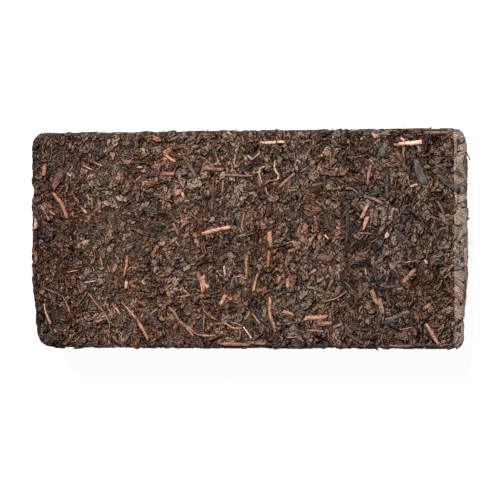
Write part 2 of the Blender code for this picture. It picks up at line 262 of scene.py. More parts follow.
# Hairs and threads that stick out past the edges: points, height and thickness in mm
EDGE_HAIRS = (
    (((123.5, -1), (126, -2.6), (128.6, -0.8), (130, -2)), 35, 0.22),
    (((123.5, -4.5), (126.5, -3), (128.4, -6)), 32, 0.2),
    (((123, -10), (126, -10.6), (127.5, -13.8)), 34, 0.24),
    (((123.5, -13), (125.8, -15.5), (126.6, -18.5)), 36, 0.22),
    (((-121.5, -15.6), (-125.6, -17.4), (-126, -21), (-123, -24.2)), 34, 0.3),
    (((-117.5, 61), (-117.2, 63.6), (-116.4, 65)), 35, 0.5),
    (((-112, 61), (-110.6, 64), (-108.5, 63.6)), 36, 0.35),
    (((-105, 61.5), (-106.4, 63.8), (-104, 64.4)), 35, 0.3),
    (((14.6, 61.5), (15, 63.6), (14.2, 65.2)), 36, 0.3),
    (((89.6, 61.5), (89.9, 64.2), (89.4, 65)), 37, 0.5),
)
# Two ends of twig that stand out of the +X end: from and to, height and thickness in mm, tone
LOOSE_TWIGS = (
    ((121.5, 52.5), (126.3, 44), 36.5, 1.2, 0.05),
    ((121.5, 10), (126.2, 11.5), 33, 1.4, 0.2),
)

STEM_TAPER = (0.75, 1.0)  # least and greatest width at the thin end of a straight stem
SCRAP_TAPER = (0.3, 0.7)  # and of a scrap
STEM_FLATNESS = 0.8  # height by width of the straight stems on the face
BENT_FLATNESS = 0.7  # of the bent ones
SCRAP_FLATNESS = 0.3  # and of the scraps
FACE_STEM_PROUD = 0.3 * MM  # how far all of them stand above the mould's wall
GROOVE_REACH = 1.6 * MM  # the leaf lies lower beside them, over this width
GROOVE_DEPTH = 0.6 * MM  # and by this much

RIM_ROUGH = 0.32  # how ragged a torn leaf's rim is, as a share of half its width
SHEET_ROUGH = 0.06  # and how uneven the leaf is inside it
PATH_STEPS = 4  # points of a laid stem for each part of its path
TWIG_STEPS = 5
TWIG_BOW = 0.4 * MM  # how far a twig's middle bends outward
LEAF_FOOT = 0.86  # a leaf's underside is this much smaller all round
LEAF_KEEL = 2.5  # and is this many times its creases' height deeper in the middle
EDGE_SLOPES = (0.75, 0.98)  # the rounded edges, by the normal's largest part
EDGE_DEPTH = 0.35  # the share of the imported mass's depth that is left on them
FACE_SLOPES = (0.6, 0.7)  # the normal's Z between the sides and the face
UNDERSIDE_SLOPES = (-0.6, -0.7)  # and between the sides and the underside
SMALL_LEAN = 1.5  # above 1, small pieces are commoner than large ones
LIE_OF_LEAF = (0.8, 1.0, 0.35)  # the direction in which most of the leaf lies
FLOW_SIZE = 55 * MM  # swirls in which the leaf lies the same way
FLOW_TURN = 3.2  # and how far they turn it, in radians
SIZE_LEAN = (0.8, 1.15)  # the leaf is finer at the -X end and coarser at the +X end
CROWDING = 2.2  # points tried in each square of the spacing; more of them fill the last gaps
PRESS_SOFTNESS = 0.25 * MM  # how softly a piece bends where the press stops it
LOWEST = 0.02 * MM  # how far the scattered pieces stay above the table

BANK_SIZE = 32 * MM  # broad patches in the pressed leaf: lighter or darker, browner or greyer
# The leaf is darker in some bands across the brick: X in mm, and brightness there
DARK_BANDS = (
    (-125, 0.5), (-106, 0.55), (-88, 1.15), (-72, 1.2), (-62, 0.85), (-50, 0.75), (-43, 1.15),
    (-31, 1.15), (-23, 0.65), (-5, 1.2), (8, 0.62), (25, 0.72), (32, 1.15), (42, 0.72),
    (50, 0.85), (57, 0.37), (70, 0.6), (97, 0.4), (118, 0.8),
)
WARM_AT = -45 * MM  # the leaf is brownest here
WARM_REACH = (30 * MM, 110 * MM)  # and goes greyer between these distances from there

FLOOR_HALF = 3.0  # from its middle to its edge
FLOOR_DROP = 0.1 * MM  # its top lies this far below the brick
FLOOR_GLOW = 0.965  # its own light, which makes it nearly white
LIGHT_PLACE = (-480 * MM, 1200 * MM, 1860 * MM)
LIGHT_SIZE = 480 * MM

# The camera, from the brick's outline in the photograph
CAMERA_PLACE = (57.4 * MM, -6.1 * MM, 737.8 * MM)
CAMERA_AIM = (2.1 * MM, -6.1 * MM, 40 * MM)
CAMERA_ROLL = math.radians(-0.2)
CAMERA_LENS = 88.75  # in mm, for a film of this width in mm
CAMERA_FILM = 36
CAMERA_REACH = 20.0


class LeafSettings(bpy.types.PropertyGroup):
    """Sizes and spacings of the leaf that the brick is pressed from."""

    broad_length: bpy.props.FloatVectorProperty(
        name="Broad leaf", description="Smallest and largest torn leaf", size=2,
        default=(7 * MM, 15 * MM), unit="LENGTH",
    )
    broad_spacing: bpy.props.FloatProperty(
        name="Broad leaf spacing", description="Least distance between broad leaves",
        default=7.0 * MM, unit="LENGTH",
    )
    long_length: bpy.props.FloatVectorProperty(
        name="Long leaf", description="Shortest and longest strip of leaf", size=2,
        default=(6 * MM, 17 * MM), unit="LENGTH",
    )
    long_spacing: bpy.props.FloatProperty(
        name="Long leaf spacing", description="Least distance between strips of leaf",
        default=5.5 * MM, unit="LENGTH",
    )
    flake_length: bpy.props.FloatVectorProperty(
        name="Leaf flake", description="Smallest and largest leaf flake", size=2,
        default=(3.5 * MM, 9 * MM), unit="LENGTH",
    )
    flake_spacing: bpy.props.FloatProperty(
        name="Flake spacing", description="Least distance between leaf flakes",
        default=4.3 * MM, unit="LENGTH",
    )
    rolled_length: bpy.props.FloatVectorProperty(
        name="Rolled leaf", description="Shortest and longest rolled leaf", size=2,
        default=(4 * MM, 13 * MM), unit="LENGTH",
    )
    rolled_spacing: bpy.props.FloatProperty(
        name="Rolled leaf spacing", description="Least distance between rolled leaves",
        default=4.7 * MM, unit="LENGTH",
    )
    crumb_length: bpy.props.FloatVectorProperty(
        name="Crumb", description="Smallest and largest crumb", size=2,
        default=(1.1 * MM, 2.6 * MM), unit="LENGTH",
    )
    crumb_spacing: bpy.props.FloatProperty(
        name="Crumb spacing", description="Least distance between crumbs",
        default=2.6 * MM, unit="LENGTH",
    )


class StemSettings(bpy.types.PropertyGroup):
    """Sizes and spacings of the cut stems and loose fibres."""

    stem_length: bpy.props.FloatVectorProperty(
        name="Cut stem", description="Shortest and longest cut stem", size=2,
        default=(4 * MM, 15 * MM), unit="LENGTH",
    )
    dull_spacing: bpy.props.FloatProperty(
        name="Dull stem spacing", description="Least distance between dull stems",
        default=16 * MM, unit="LENGTH",
    )
    bright_spacing: bpy.props.FloatProperty(
        name="Bright stem spacing", description="Least distance between bright stems",
        default=18 * MM, unit="LENGTH",
    )
    fibre_length: bpy.props.FloatVectorProperty(
        name="Fibre", description="Shortest and longest fibre", size=2,
        default=(3 * MM, 9 * MM), unit="LENGTH",
    )
    fibre_spacing: bpy.props.FloatProperty(
        name="Fibre spacing", description="Least distance between fibres",
        default=6.5 * MM, unit="LENGTH",
    )


class StageSettings(bpy.types.PropertyGroup):
    """The floor and the studio light."""

    floor_colour: bpy.props.StringProperty(
        name="Floor", description="Colour of the floor, as sRGB hex", default="4A4A4A"
    )
    fill_colour: bpy.props.StringProperty(
        name="Fill colour", description="Colour of the even light, as sRGB hex", default="FFEEE2"
    )
    light_power: bpy.props.FloatProperty(
        name="Light", description="Power of the overhead soft light", default=265, unit="POWER"
    )
    sky_strength: bpy.props.FloatProperty(
        name="Fill", description="Strength of the even light all round", default=0.11
    )


def linear(hex_colour):
    """An sRGB hex colour as the linear values and alpha that a shader takes."""
    parts = [int(hex_colour[i : i + 2], 16) / 255 for i in (0, 2, 4)]
    return [c / 12.92 if c <= 0.04045 else ((c + 0.055) / 1.055) ** 2.4 for c in parts] + [1]


def add(tree, kind, inputs=None, **settings):
    """Add a node with its settings; each input is a value, or a socket to link from."""
    node = tree.nodes.new(kind)
    for name, value in settings.items():
        setattr(node, name, value)
    for key, value in (inputs or {}).items():
        if isinstance(value, bpy.types.NodeSocket):
            tree.links.new(value, node.inputs[key])
        else:
            node.inputs[key].default_value = value
    return node


def smooth_step(value, start, end):
    """0 before start, 1 after end, and an easy slope between."""
    t = min(max((value - start) / (end - start), 0.0), 1.0)
    return t * t * (3 - 2 * t)


# ---------------------------------------------------------------- the mould's form


def end_pull(side, y):
    """How far an end of the brick is drawn in at the place y across its width."""
    pull = LOWER_PULL * smooth_step(-y, *LOWER_PULL_SPAN)
    pull += UPPER_PULL * smooth_step(y, *UPPER_PULL_SPAN)
    if side < 0:
        pull += NOTCH_DEPTH * (1 - smooth_step(abs(y - NOTCH_AT), 0, NOTCH_REACH))
    return pull


def form_distance(p, edge_round):
    """Distance of a point from the mould's form: below zero inside, above zero outside."""
    side = (1 if p.x > 0 else -1, 1 if p.y > 0 else -1)
    corner = CORNER_ROUND[side]
    along = abs(p.x) - FORM_LENGTH / 2 + end_pull(side[0], p.y) + corner
    across = abs(p.y) - FORM_WIDTH / 2 + corner
    plan = math.hypot(max(along, 0), max(across, 0)) + min(max(along, across), 0) - corner
    wall = plan + edge_round
    level = abs(p.z - FORM_HEIGHT / 2) - FORM_HEIGHT / 2 + edge_round
    return math.hypot(max(wall, 0), max(level, 0)) + min(max(wall, level), 0) - edge_round


def onto_form(point, edge_round):
    """The point moved straight in or out onto the mould's form."""
    p = Vector(point)
    reach = 0.05 * MM
    steps = (Vector((reach, 0, 0)), Vector((0, reach, 0)), Vector((0, 0, reach)))
    for _ in range(4):
        slope = [
            form_distance(p + step, edge_round) - form_distance(p - step, edge_round)
            for step in steps
        ]
        p -= Vector(slope).normalized() * form_distance(p, edge_round)
    return p


def cut_places(size):
    """Where the form is divided along one axis: close rows at both ends, even ones between."""
    inner = size - 2 * EDGE_ROWS[-1]
    count = round(inner / FORM_MESH)
    even = [EDGE_ROWS[-1] + inner * i / count - size / 2 for i in range(count + 1)]
    close = [row - size / 2 for row in EDGE_ROWS[:-1]]
    return close + even + [-place for place in close]


def chart_place(normal, co):
    """Where a point of the form lies on the flat map of its six sides, in metres."""
    x, y, z = co.x + FORM_LENGTH / 2, co.y + FORM_WIDTH / 2, co.z
    gap = 5 * MM
    sizes = [abs(value) for value in normal]
    if max(sizes) == sizes[2]:
        return (x, y) if normal.z > 0 else (x, y + FORM_WIDTH + gap)
    row = 2 * (FORM_WIDTH + gap)
    if max(sizes) == sizes[1]:
        return (x, z + row) if normal.y < 0 else (x, z + row + FORM_HEIGHT + gap)
    row += 2 * (FORM_HEIGHT + gap)
    return (y, z + row) if normal.x < 0 else (y + FORM_WIDTH + gap, z + row)


def make_form(name, edge_round):
    """The mould's form as a smooth closed mesh, with a flat map of its six sides."""
    size = Vector((FORM_LENGTH, FORM_WIDTH, FORM_HEIGHT))
    centre = Vector((0, 0, FORM_HEIGHT / 2))
    bm = bmesh.new()
    bmesh.ops.create_cube(bm, size=1, matrix=Matrix.LocRotScale(centre, None, size))
    for axis in range(3):
        normal = Vector([float(axis == i) for i in range(3)])
        for place in cut_places(size[axis]):
            bmesh.ops.bisect_plane(
                bm, geom=bm.verts[:] + bm.edges[:] + bm.faces[:], dist=0.01 * MM,
                plane_co=centre + normal * place, plane_no=normal,
            )
    for vert in bm.verts:
        vert.co = onto_form(vert.co, edge_round)
    bm.normal_update()
    chart = bm.loops.layers.uv.new(BAKE_MAP)
    sheet = 2 * (FORM_WIDTH + 2 * FORM_HEIGHT)
    for face in bm.faces:
        face.smooth = True
        for loop in face.loops:
            u, v = chart_place(face.normal, loop.vert.co)
            loop[chart].uv = (u / sheet, v / sheet)
    mesh = bpy.data.meshes.new(name)
    bm.to_mesh(mesh)
    bm.free()
    return link_object(name, mesh)


def link_object(name, mesh, collection=None):
    """A new object of a mesh at the origin, in the scene or in a collection."""
    obj = bpy.data.objects.new(name, mesh)
    (collection or bpy.context.scene.collection).objects.link(obj)
    return obj


def discard(obj):
    """Take an object and its mesh away."""
    mesh = obj.data
    bpy.data.objects.remove(obj)
    bpy.data.meshes.remove(mesh)


# ---------------------------------------------------------------- pieces of leaf and stem


class PieceMesh:
    """A closed piece built from rings of points, with its own patch of the bake map."""

    def __init__(self):
        self.bm = bmesh.new()
        self.map = self.bm.loops.layers.uv.new(BAKE_MAP)
        self.grain = self.bm.verts.layers.float_vector.new("grain")
        self.tone = self.bm.verts.layers.float.new("tone")
        self.rim = self.bm.verts.layers.float.new("rim")

    def ring(self, points, grain=None, tone=0.5, rim=None):
        """Add a ring of points, which remember where they lie in the piece's own grain, and how
        near they are to its rim."""
        verts = []
        for i, point in enumerate(points):
            vert = self.bm.verts.new(point)
            vert[self.grain] = grain[i] if grain else point
            vert[self.tone] = tone
            vert[self.rim] = rim[i] if rim else 0.0
            verts.append(vert)
        return verts

    def face(self, verts, places):
        """Add a face and its corners' places on the bake map."""
        face = self.bm.faces.new(verts)
        face.smooth = True
        for loop, place in zip(face.loops, places):
            loop[self.map].uv = place

    def band(self, lower, upper, lower_places, upper_places):
        """Join two rings of equal count; each place list holds one more, for the seam."""
        count = len(lower)
        for i in range(count):
            j = (i + 1) % count
            self.face(
                (lower[i], lower[j], upper[j], upper[i]),
                (lower_places[i], lower_places[i + 1], upper_places[i + 1], upper_places[i]),
            )

    def fan(self, ring, tip, ring_places, tip_place):
        """Close a ring onto one point."""
        count = len(ring)
        for i in range(count):
            self.face(
                (ring[i], ring[(i + 1) % count], tip),
                (ring_places[i], ring_places[i + 1], tip_place),
            )

    def finish(self, name, collection=None):
        """Turn the piece into an object."""
        mesh = bpy.data.meshes.new(name)
        bmesh.ops.recalc_face_normals(self.bm, faces=self.bm.faces[:])
        self.bm.to_mesh(mesh)
        self.bm.free()
        return link_object(name, mesh, collection)


def triangle_wave(turns):
    """A zigzag between -1 and 1 that repeats once a turn."""
    return 4 * abs(turns % 1.0 - 0.5) - 1


def make_creased_leaf(name, rng, collection, along, across, slenders, thickness, cups, creases):
    """A torn strip of leaf, one unit long, folded into creases that run along it. Its width is
    drawn from slenders; the turn of its long rims and its creases' height are shares of its
    width, drawn from cups and creases."""
    slender = rng.uniform(*slenders)
    half = slender / 2
    blunt = (rng.uniform(0.05, 0.8), rng.uniform(0.05, 0.8))
    sway, skew = rng.uniform(-0.09, 0.09), rng.uniform(-0.12, 0.12)
    folds, fold_turn = rng.uniform(0.8, 1.7), rng.uniform(-0.6, 0.6)
    fold_height, phase = slender * rng.uniform(*creases), rng.uniform(0, 1)
    bow, cup = rng.uniform(-0.25, 0.25), rng.uniform(*cups) * slender

    def width(t):
        low, high = blunt
        end = low + (high - low) * t
        return half * (end + (1 - end) * math.sin(math.pi * t) ** 0.7)

    rows = []
    for i in range(along + 1):
        t = i / along
        row = []
        for j in range(across + 1):
            v = 2 * j / across - 1
            rough = RIM_ROUGH if i in (0, along) or j in (0, across) else SHEET_ROUGH
            x = t - 0.5 + skew * v * half * 2 + rng.uniform(-rough, rough) * 0.5 * half
            y = v * width(t) + sway * math.sin(math.pi * t) + rng.uniform(-rough, rough) * half
            z = fold_height * triangle_wave(folds * v / 2 + fold_turn * t + phase)
            z += cup * v * v + bow * (t - 0.5) ** 2 + rng.uniform(-0.1, 0.1) * fold_height
            row.append(Vector((x, y, z)))
        rows.append(row)

    def place(i, j, grow=0.0):
        return (
            0.06 + 0.72 * i / along + grow * (2 * i / along - 1),
            0.08 + 0.8 * j / across + grow * (2 * j / across - 1),
        )

    piece = PieceMesh()
    inner = [0.0] * (across - 1)
    verts = [
        piece.ring(row, rim=[1.0] * (across + 1) if i in (0, along) else [1.0] + inner + [1.0])
        for i, row in enumerate(rows)
    ]
    for i in range(along):
        for j in range(across):
            corners = ((i, j), (i + 1, j), (i + 1, j + 1), (i, j + 1))
            piece.face([verts[m][n] for m, n in corners], [place(m, n) for m, n in corners])

    # a short wall all round, closed below onto one point
    rim = [(i, 0) for i in range(along)] + [(along, j) for j in range(across)]
    rim += [(i, across) for i in range(along, 0, -1)] + [(0, j) for j in range(across, 0, -1)]
    edge = [verts[i][j] for i, j in rim]
    lower = [rows[i][j] * LEAF_FOOT - Vector((0, 0, thickness)) for i, j in rim]
    foot = piece.ring(lower, rim=[1.0] * len(rim))
    keel = piece.ring([Vector((0, 0, -thickness - LEAF_KEEL * fold_height))])[0]
    closed = rim + rim[:1]
    inside, outside = [[place(*spot, grow) for spot in closed] for grow in (0.0, 0.04)]
    piece.band(foot, edge, outside, inside)
    patch = [
        (0.92 + 0.07 * (2 * i / along - 1), 0.5 + 0.4 * (2 * j / across - 1)) for i, j in closed
    ]
    piece.fan(foot, keel, patch, (0.92, 0.5))
    return piece.finish(name, collection)


def tube_frames(points):
    """Each point of a path, with its side and up directions; the side one stays level."""
    frames = []
    for i, point in enumerate(points):
        ahead = points[min(i + 1, len(points) - 1)] - points[max(i - 1, 0)]
        ahead.normalize()
        side = Vector((0, 0, 1)).cross(ahead).normalized()
        frames.append((point, side, ahead.cross(side)))
    return frames


def add_tube(piece, points, widths, heights, profile, twist=0.0, tone=0.5, slants=(0, 0),
             torn=None):
    """A closed tube along points; profile holds its reach at each side, widths its size. Its
    ends are cut at a slant, and torn, a random draw, makes them uneven."""
    sides = len(profile)
    rings, places = [], []
    last = len(points) - 1
    run = 0.0
    for i, (point, side, up) in enumerate(tube_frames(points)):
        run += (points[i] - points[i - 1]).length if i else 0.0
        ahead = side.cross(up)
        half = widths[i] / 2
        spots, grain, rim = [], [], []
        for j, reach in enumerate(profile):
            angle = math.tau * j / sides + twist * i / last
            spot = point + side * (math.cos(angle) * reach * half)
            spot += up * (math.sin(angle) * reach * heights[i] / 2)
            if i in (0, last):
                shift = slants[i > 0] * math.cos(angle) + (torn.uniform(-0.5, 0.5) if torn else 0)
                spot += ahead * (shift * half)
            spots.append(spot)
            grain.append(Vector((run, math.cos(angle) * half, math.sin(angle) * half)))
            rim.append(math.cos(math.tau * j / sides) ** 4)
        rings.append(piece.ring(spots, grain, tone, rim))
        places.append([(0.04 + 0.84 * i / last, 0.02 + 0.96 * j / sides) for j in range(sides + 1)])
    for i in range(last):
        piece.band(rings[i], rings[i + 1], places[i], places[i + 1])
    angles = [math.tau * j / sides for j in range(sides)]
    for ring, middle in ((rings[0][::-1], 0.25), (rings[-1], 0.75)):
        piece.face(ring, [(0.95 + 0.03 * math.cos(a), middle + 0.2 * math.sin(a)) for a in angles])


def wander(rng, steps, bend, lift=0.0):
    """Points of a bent path one unit long, from -0.5 to 0.5 along X."""
    phases = [(rng.uniform(0, math.tau), rng.uniform(0.6, 1.7)) for _ in range(2)]
    points = []
    for i in range(steps + 1):
        t = i / steps
        sway = bend * math.sin(phases[0][0] + phases[0][1] * math.tau * t * 0.5)
        rise = lift * math.sin(phases[1][0] + phases[1][1] * math.tau * t * 0.5)
        points.append(Vector((t - 0.5, sway, rise)))
    return points


def make_rolled_leaf(name, rng, collection):
    """A leaf rolled into a thin, creased, twisted strip, one unit long."""
    steps = 6
    points = wander(rng, steps, rng.uniform(0.02, 0.13), rng.uniform(0.0, 0.04))
    thick = rng.uniform(0.11, 0.26)
    widths = []
    for i in range(steps + 1):
        t = i / steps
        taper = 0.3 + 0.7 * math.sin(math.pi * (0.92 * t + 0.05)) ** 0.6
        widths.append(thick * taper * rng.uniform(0.8, 1.15))
    profile = [1.0, rng.uniform(0.5, 0.8), 1.1, rng.uniform(0.6, 1.0), rng.uniform(0.7, 1.1), 0.6]
    heights = [width * rng.uniform(0.45, 0.7) for width in widths]
    piece = PieceMesh()
    add_tube(piece, points, widths, heights, profile, twist=rng.uniform(-2.5, 2.5))
    return piece.finish(name, collection)


def make_cut_stem(name, rng, collection):
    """A short cut stem, one unit long, nearly straight, pressed a little flat and unevenly cut."""
    steps = 5
    thick = rng.uniform(0.1, 0.19)
    points = wander(rng, steps, rng.uniform(0.0, 0.06))
    taper = rng.uniform(0.55, 1.0)
    widths = [
        thick * (1 - (1 - taper) * i / steps) * rng.uniform(0.84, 1.12) for i in range(steps + 1)
    ]
    heights = [width * rng.uniform(0.55, 0.8) for width in widths]
    profile = [rng.uniform(0.85, 1.1) for _ in range(8)]
    slants = (rng.uniform(-0.9, 0.9), rng.uniform(-0.9, 0.9))
    piece = PieceMesh()
    add_tube(piece, points, widths, heights, profile, slants=slants, torn=rng)
    return piece.finish(name, collection)


def smooth_path(points, steps):
    """A smooth curve through a few points, with some steps between each two."""
    ends = [points[0] * 2 - points[1]] + list(points) + [points[-1] * 2 - points[-2]]
    path = [points[0]]
    for before, start, end, after in zip(ends, ends[1:], ends[2:], ends[3:]):
        handles = start + (end - before) / 6, end - (after - start) / 6
        path += interpolate_bezier(start, *handles, end, steps + 1)[1:]
    return path


def straight_path(rng, x, y, degrees, length):
    """The start, middle and end of a nearly straight stem, in mm."""
    turn = Matrix.Rotation(math.radians(degrees), 2)
    bow = rng.uniform(-0.03, 0.03) * length
    ends = (-length / 2, 0), (0, bow), (length / 2, 0)
    return [turn @ Vector(end) + Vector((x, y)) for end in ends]


def lay_stem(piece, rng, path, widths, tone, flatness):
    """Lay a stem or scrap on the brick's face along a path in mm, a little above the leaf. Its
    three widths are those at its start, middle and end."""
    flat = smooth_path([Vector((place.x, place.y, 0)) for place in path], PATH_STEPS)
    start, middle, end = widths
    last = len(flat) - 1
    points, sizes = [], []
    for i, place in enumerate(flat):
        t = i / last
        width = start * (1 - t) * (1 - 2 * t) + 4 * middle * t * (1 - t) - end * t * (1 - 2 * t)
        sizes.append(width * rng.uniform(0.9, 1.1) * MM)
        top = onto_form(Vector((place.x * MM, place.y * MM, FORM_HEIGHT)), EDGE_ROUND)
        points.append(top + Vector((0, 0, FACE_STEM_PROUD - flatness * sizes[-1] / 2)))
    heights = [size * flatness for size in sizes]
    profile = [rng.uniform(0.9, 1.08) for _ in range(10)]
    slants = (rng.uniform(-0.8, 0.8), rng.uniform(-0.8, 0.8))
    add_tube(piece, points, sizes, heights, profile, tone=tone, slants=slants, torn=rng)


def make_fibre(name, rng, collection):
    """A thin bent fibre or hair of stem, one unit long."""
    steps = 5
    points = wander(rng, steps, rng.uniform(0.03, 0.2), 0.02)
    thick = rng.uniform(0.04, 0.085)
    widths = [thick * (1 - 0.6 * abs(2 * i / steps - 1) ** 2) for i in range(steps + 1)]
    piece = PieceMesh()
    add_tube(piece, points, widths, widths, [1, 1, 1])
    return piece.finish(name, collection)


def make_crumb(name, rng, collection):
    """A crumb of leaf: a flat lump with uneven corners, about one unit long."""
    bm = bmesh.new()
    bmesh.ops.create_icosphere(bm, subdivisions=1, radius=0.5)
    chart = bm.loops.layers.uv.new(BAKE_MAP)
    grain = bm.verts.layers.float_vector.new("grain")
    bm.verts.layers.float.new("tone")
    bm.verts.layers.float.new("rim")
    flat = rng.uniform(0.2, 0.4)
    slender = rng.uniform(0.2, 0.5)
    for face in bm.faces:
        face.smooth = False
        shift = 0.25 if face.calc_center_median().z > 0 else 0.75
        for loop in face.loops:
            loop[chart].uv = (shift + 0.44 * loop.vert.co.x, 0.5 + 0.9 * loop.vert.co.y)
    for vert in bm.verts:
        vert.co *= rng.uniform(0.75, 1.2)
        vert.co.y *= slender
        vert.co.z *= flat
        vert[grain] = vert.co
    mesh = bpy.data.meshes.new(name)
    bm.to_mesh(mesh)
    bm.free()
    return link_object(name, mesh, collection)


def make_kinds(name, count, make, **shape):
    """A collection of different pieces of one kind, each drawn from its own seed."""
    collection = bpy.data.collections.new(name)
    bpy.context.scene.collection.children.link(collection)
    for i in range(count):
        make(f"{name}_{i + 1:02d}", random.Random(f"{SEED} {name} {i}"), collection, **shape)
    return collection


def remove_kinds(collection):
    """Take away the single pieces once they are scattered."""
    for obj in list(collection.objects):
        discard(obj)
    bpy.data.collections.remove(collection)


# ---------------------------------------------------------------- node trees


def new_tree(name, sockets):
    """A geometry node group with named inputs; returns it and its input node's outputs."""
    tree = bpy.data.node_groups.new(name, "GeometryNodeTree")
    tree.is_modifier = True
    tree.interface.new_socket("Geometry", in_out="INPUT", socket_type="NodeSocketGeometry")
    for label, kind in sockets:
        tree.interface.new_socket(label, in_out="INPUT", socket_type=kind)
    tree.interface.new_socket("Geometry", in_out="OUTPUT", socket_type="NodeSocketGeometry")
    start = tree.nodes.new("NodeGroupInput")
    return tree, start.outputs


def run_tree(tree, base, values, name):
    """Evaluate a tree on a copy of the base mesh, and keep the result as a plain mesh object."""
    carrier = link_object(name + "_carrier", base.data.copy())
    modifier = carrier.modifiers.new(tree.name, "NODES")
    modifier.node_group = tree
    sockets = [item for item in tree.interface.items_tree if item.in_out == "INPUT"]
    identifiers = {socket.name: socket.identifier for socket in sockets}
    for label, value in values.items():
        modifier[identifiers[label]] = value
    evaluated = carrier.evaluated_get(bpy.context.evaluated_depsgraph_get())
    mesh = bpy.data.meshes.new_from_object(evaluated)
    mesh.name = name
    discard(carrier)
    if mesh.materials[0] is None:  # the empty slot of the scattered pieces
        mesh.materials.pop(index=0)
    for label in ("ceiling", "cell", "size_of", "tone_of", "id"):
        if label in mesh.attributes:
            mesh.attributes.remove(mesh.attributes[label])
    return link_object(name, mesh)


def finish_tree(tree, geometry, material):
    """Give the geometry its material and hand it out of the tree."""
    inputs = {"Geometry": geometry, "Material": material}
    dressed = add(tree, "GeometryNodeSetMaterial", inputs).outputs[0]
    add(tree, "NodeGroupOutput", {"Geometry": dressed})
    return tree


def store(tree, geometry, name, value, **settings):
    """Keep a value on the geometry under a name."""
    inputs = {"Geometry": geometry, "Name": name, "Value": value}
    return add(tree, "GeometryNodeStoreNamedAttribute", inputs, **settings).outputs[0]


DRAW_PLACES = {"FLOAT_VECTOR": 0, "FLOAT": 1, "INT": 2}  # of each kind's sockets on the node


def draw(tree, given, step, kind="FLOAT", low=0.0, high=1.0):
    """A random value for each point; each step after the tree's seed gives other ones."""
    place = DRAW_PLACES[kind]
    seed = maths(tree, "ADD", given["Seed"], float(step))
    inputs = {2 * place: low, 2 * place + 1: high, "Seed": seed}
    return add(tree, "FunctionNodeRandomValue", inputs, data_type=kind).outputs[place]


def stored(tree, name, kind="FLOAT"):
    """A value that was kept on the geometry."""
    return add(tree, "GeometryNodeInputNamedAttribute", {"Name": name}, data_type=kind).outputs[0]


def moved(tree, geometry, **change):
    """The geometry with its points moved by an Offset, or to a Position."""
    inputs = {"Geometry": geometry, **change}
    return add(tree, "GeometryNodeSetPosition", inputs).outputs[0]


def maths(tree, operation, first, second=0.0, third=0.0):
    """One step of arithmetic on numbers."""
    inputs = {0: first, 1: second, 2: third}
    return add(tree, "ShaderNodeMath", inputs, operation=operation).outputs[0]


def vector_maths(tree, operation, first, second=(0, 0, 0)):
    """One step of arithmetic on vectors; SCALE takes a number as its second."""
    inputs = {0: first, "Scale" if operation == "SCALE" else 1: second}
    outputs = add(tree, "ShaderNodeVectorMath", inputs, operation=operation).outputs
    return outputs["Value" if operation == "DOT_PRODUCT" else "Vector"]


def vector(tree, x=0.0, y=0.0, z=0.0):
    """Three numbers as one vector."""
    return add(tree, "ShaderNodeCombineXYZ", {0: x, 1: y, 2: z}).outputs[0]


def split(tree, whole):
    """The three numbers of a vector or a colour."""
    return add(tree, "ShaderNodeSeparateXYZ", {0: whole}).outputs


def remap(tree, value, start, end, low, high, **more):
    """A value from one range to another."""
    inputs = {"Value": value, "From Min": start, "From Max": end, "To Min": low, "To Max": high}
    return add(tree, "ShaderNodeMapRange", inputs, **more).outputs[0]


def from_end_to_end(tree, along, start, end):
    """A value that changes evenly from the brick's -X end to its +X end."""
    return remap(tree, along, -FORM_LENGTH / 2, FORM_LENGTH / 2, start, end)


def noise(tree, place, size, detail=2.0, rough=0.6):
    """Noise with features of a real size, which is a number or a socket."""
    linked = isinstance(size, bpy.types.NodeSocket)
    scale = maths(tree, "DIVIDE", 1.0, size) if linked else 1 / size
    inputs = {"Vector": place, "Scale": scale, "Detail": detail, "Roughness": rough}
    return add(tree, "ShaderNodeTexNoise", inputs).outputs


MASS_INPUTS = (
    ("Depth", "NodeSocketFloat"),
    ("Lump size", "NodeSocketFloat"),
    ("Lump height", "NodeSocketFloat"),
    ("Crease size", "NodeSocketFloat"),
    ("Crease height", "NodeSocketFloat"),
    ("Material", "NodeSocketMaterial"),
)


def mass_tree():
    """Nodes that turn the form into the creased mass that lies under the leaves."""
    tree, given = new_tree("pressed_mass", MASS_INPUTS)
    inputs = {"Mesh": given["Geometry"], "Level": 1}
    fine = add(tree, "GeometryNodeSubdivideMesh", inputs).outputs[0]
    place = add(tree, "GeometryNodeInputPosition").outputs[0]
    normal = add(tree, "GeometryNodeInputNormal").outputs[0]

    inputs = {"Vector": place, "Scale": maths(tree, "DIVIDE", 1.0, given["Lump size"])}
    lumps = add(tree, "ShaderNodeTexVoronoi", inputs, feature="SMOOTH_F1").outputs
    lump = maths(tree, "MULTIPLY", lumps["Distance"], given["Lump height"])
    crease = noise(tree, place, given["Crease size"], detail=3.0)["Fac"]
    crease = maths(tree, "MULTIPLY", maths(tree, "SUBTRACT", crease, 0.5), given["Crease height"])
    full = maths(tree, "SUBTRACT", maths(tree, "SUBTRACT", crease, lump), given["Depth"])

    # the rounded edges are packed fuller than the flat sides
    x, y, z = split(tree, vector_maths(tree, "ABSOLUTE", normal))
    facing = maths(tree, "MAXIMUM", maths(tree, "MAXIMUM", x, y), z)
    rise = maths(tree, "MULTIPLY", full, remap(tree, facing, *EDGE_SLOPES, EDGE_DEPTH, 1.0))

    mass = moved(tree, fine, Offset=vector_maths(tree, "SCALE", normal, rise))
    # how far the mass lies below the form, which its material turns into painted shade
    mass = store(tree, mass, "sunk", maths(tree, "MULTIPLY", rise, -1.0))
    mass = store(tree, mass, "tone", lumps["Color"])
    mass = store(tree, mass, "grain", place, data_type="FLOAT_VECTOR")
    mass = add(tree, "GeometryNodeRealizeInstances", {"Geometry": mass}).outputs[0]
    return finish_tree(tree, mass, given["Material"])


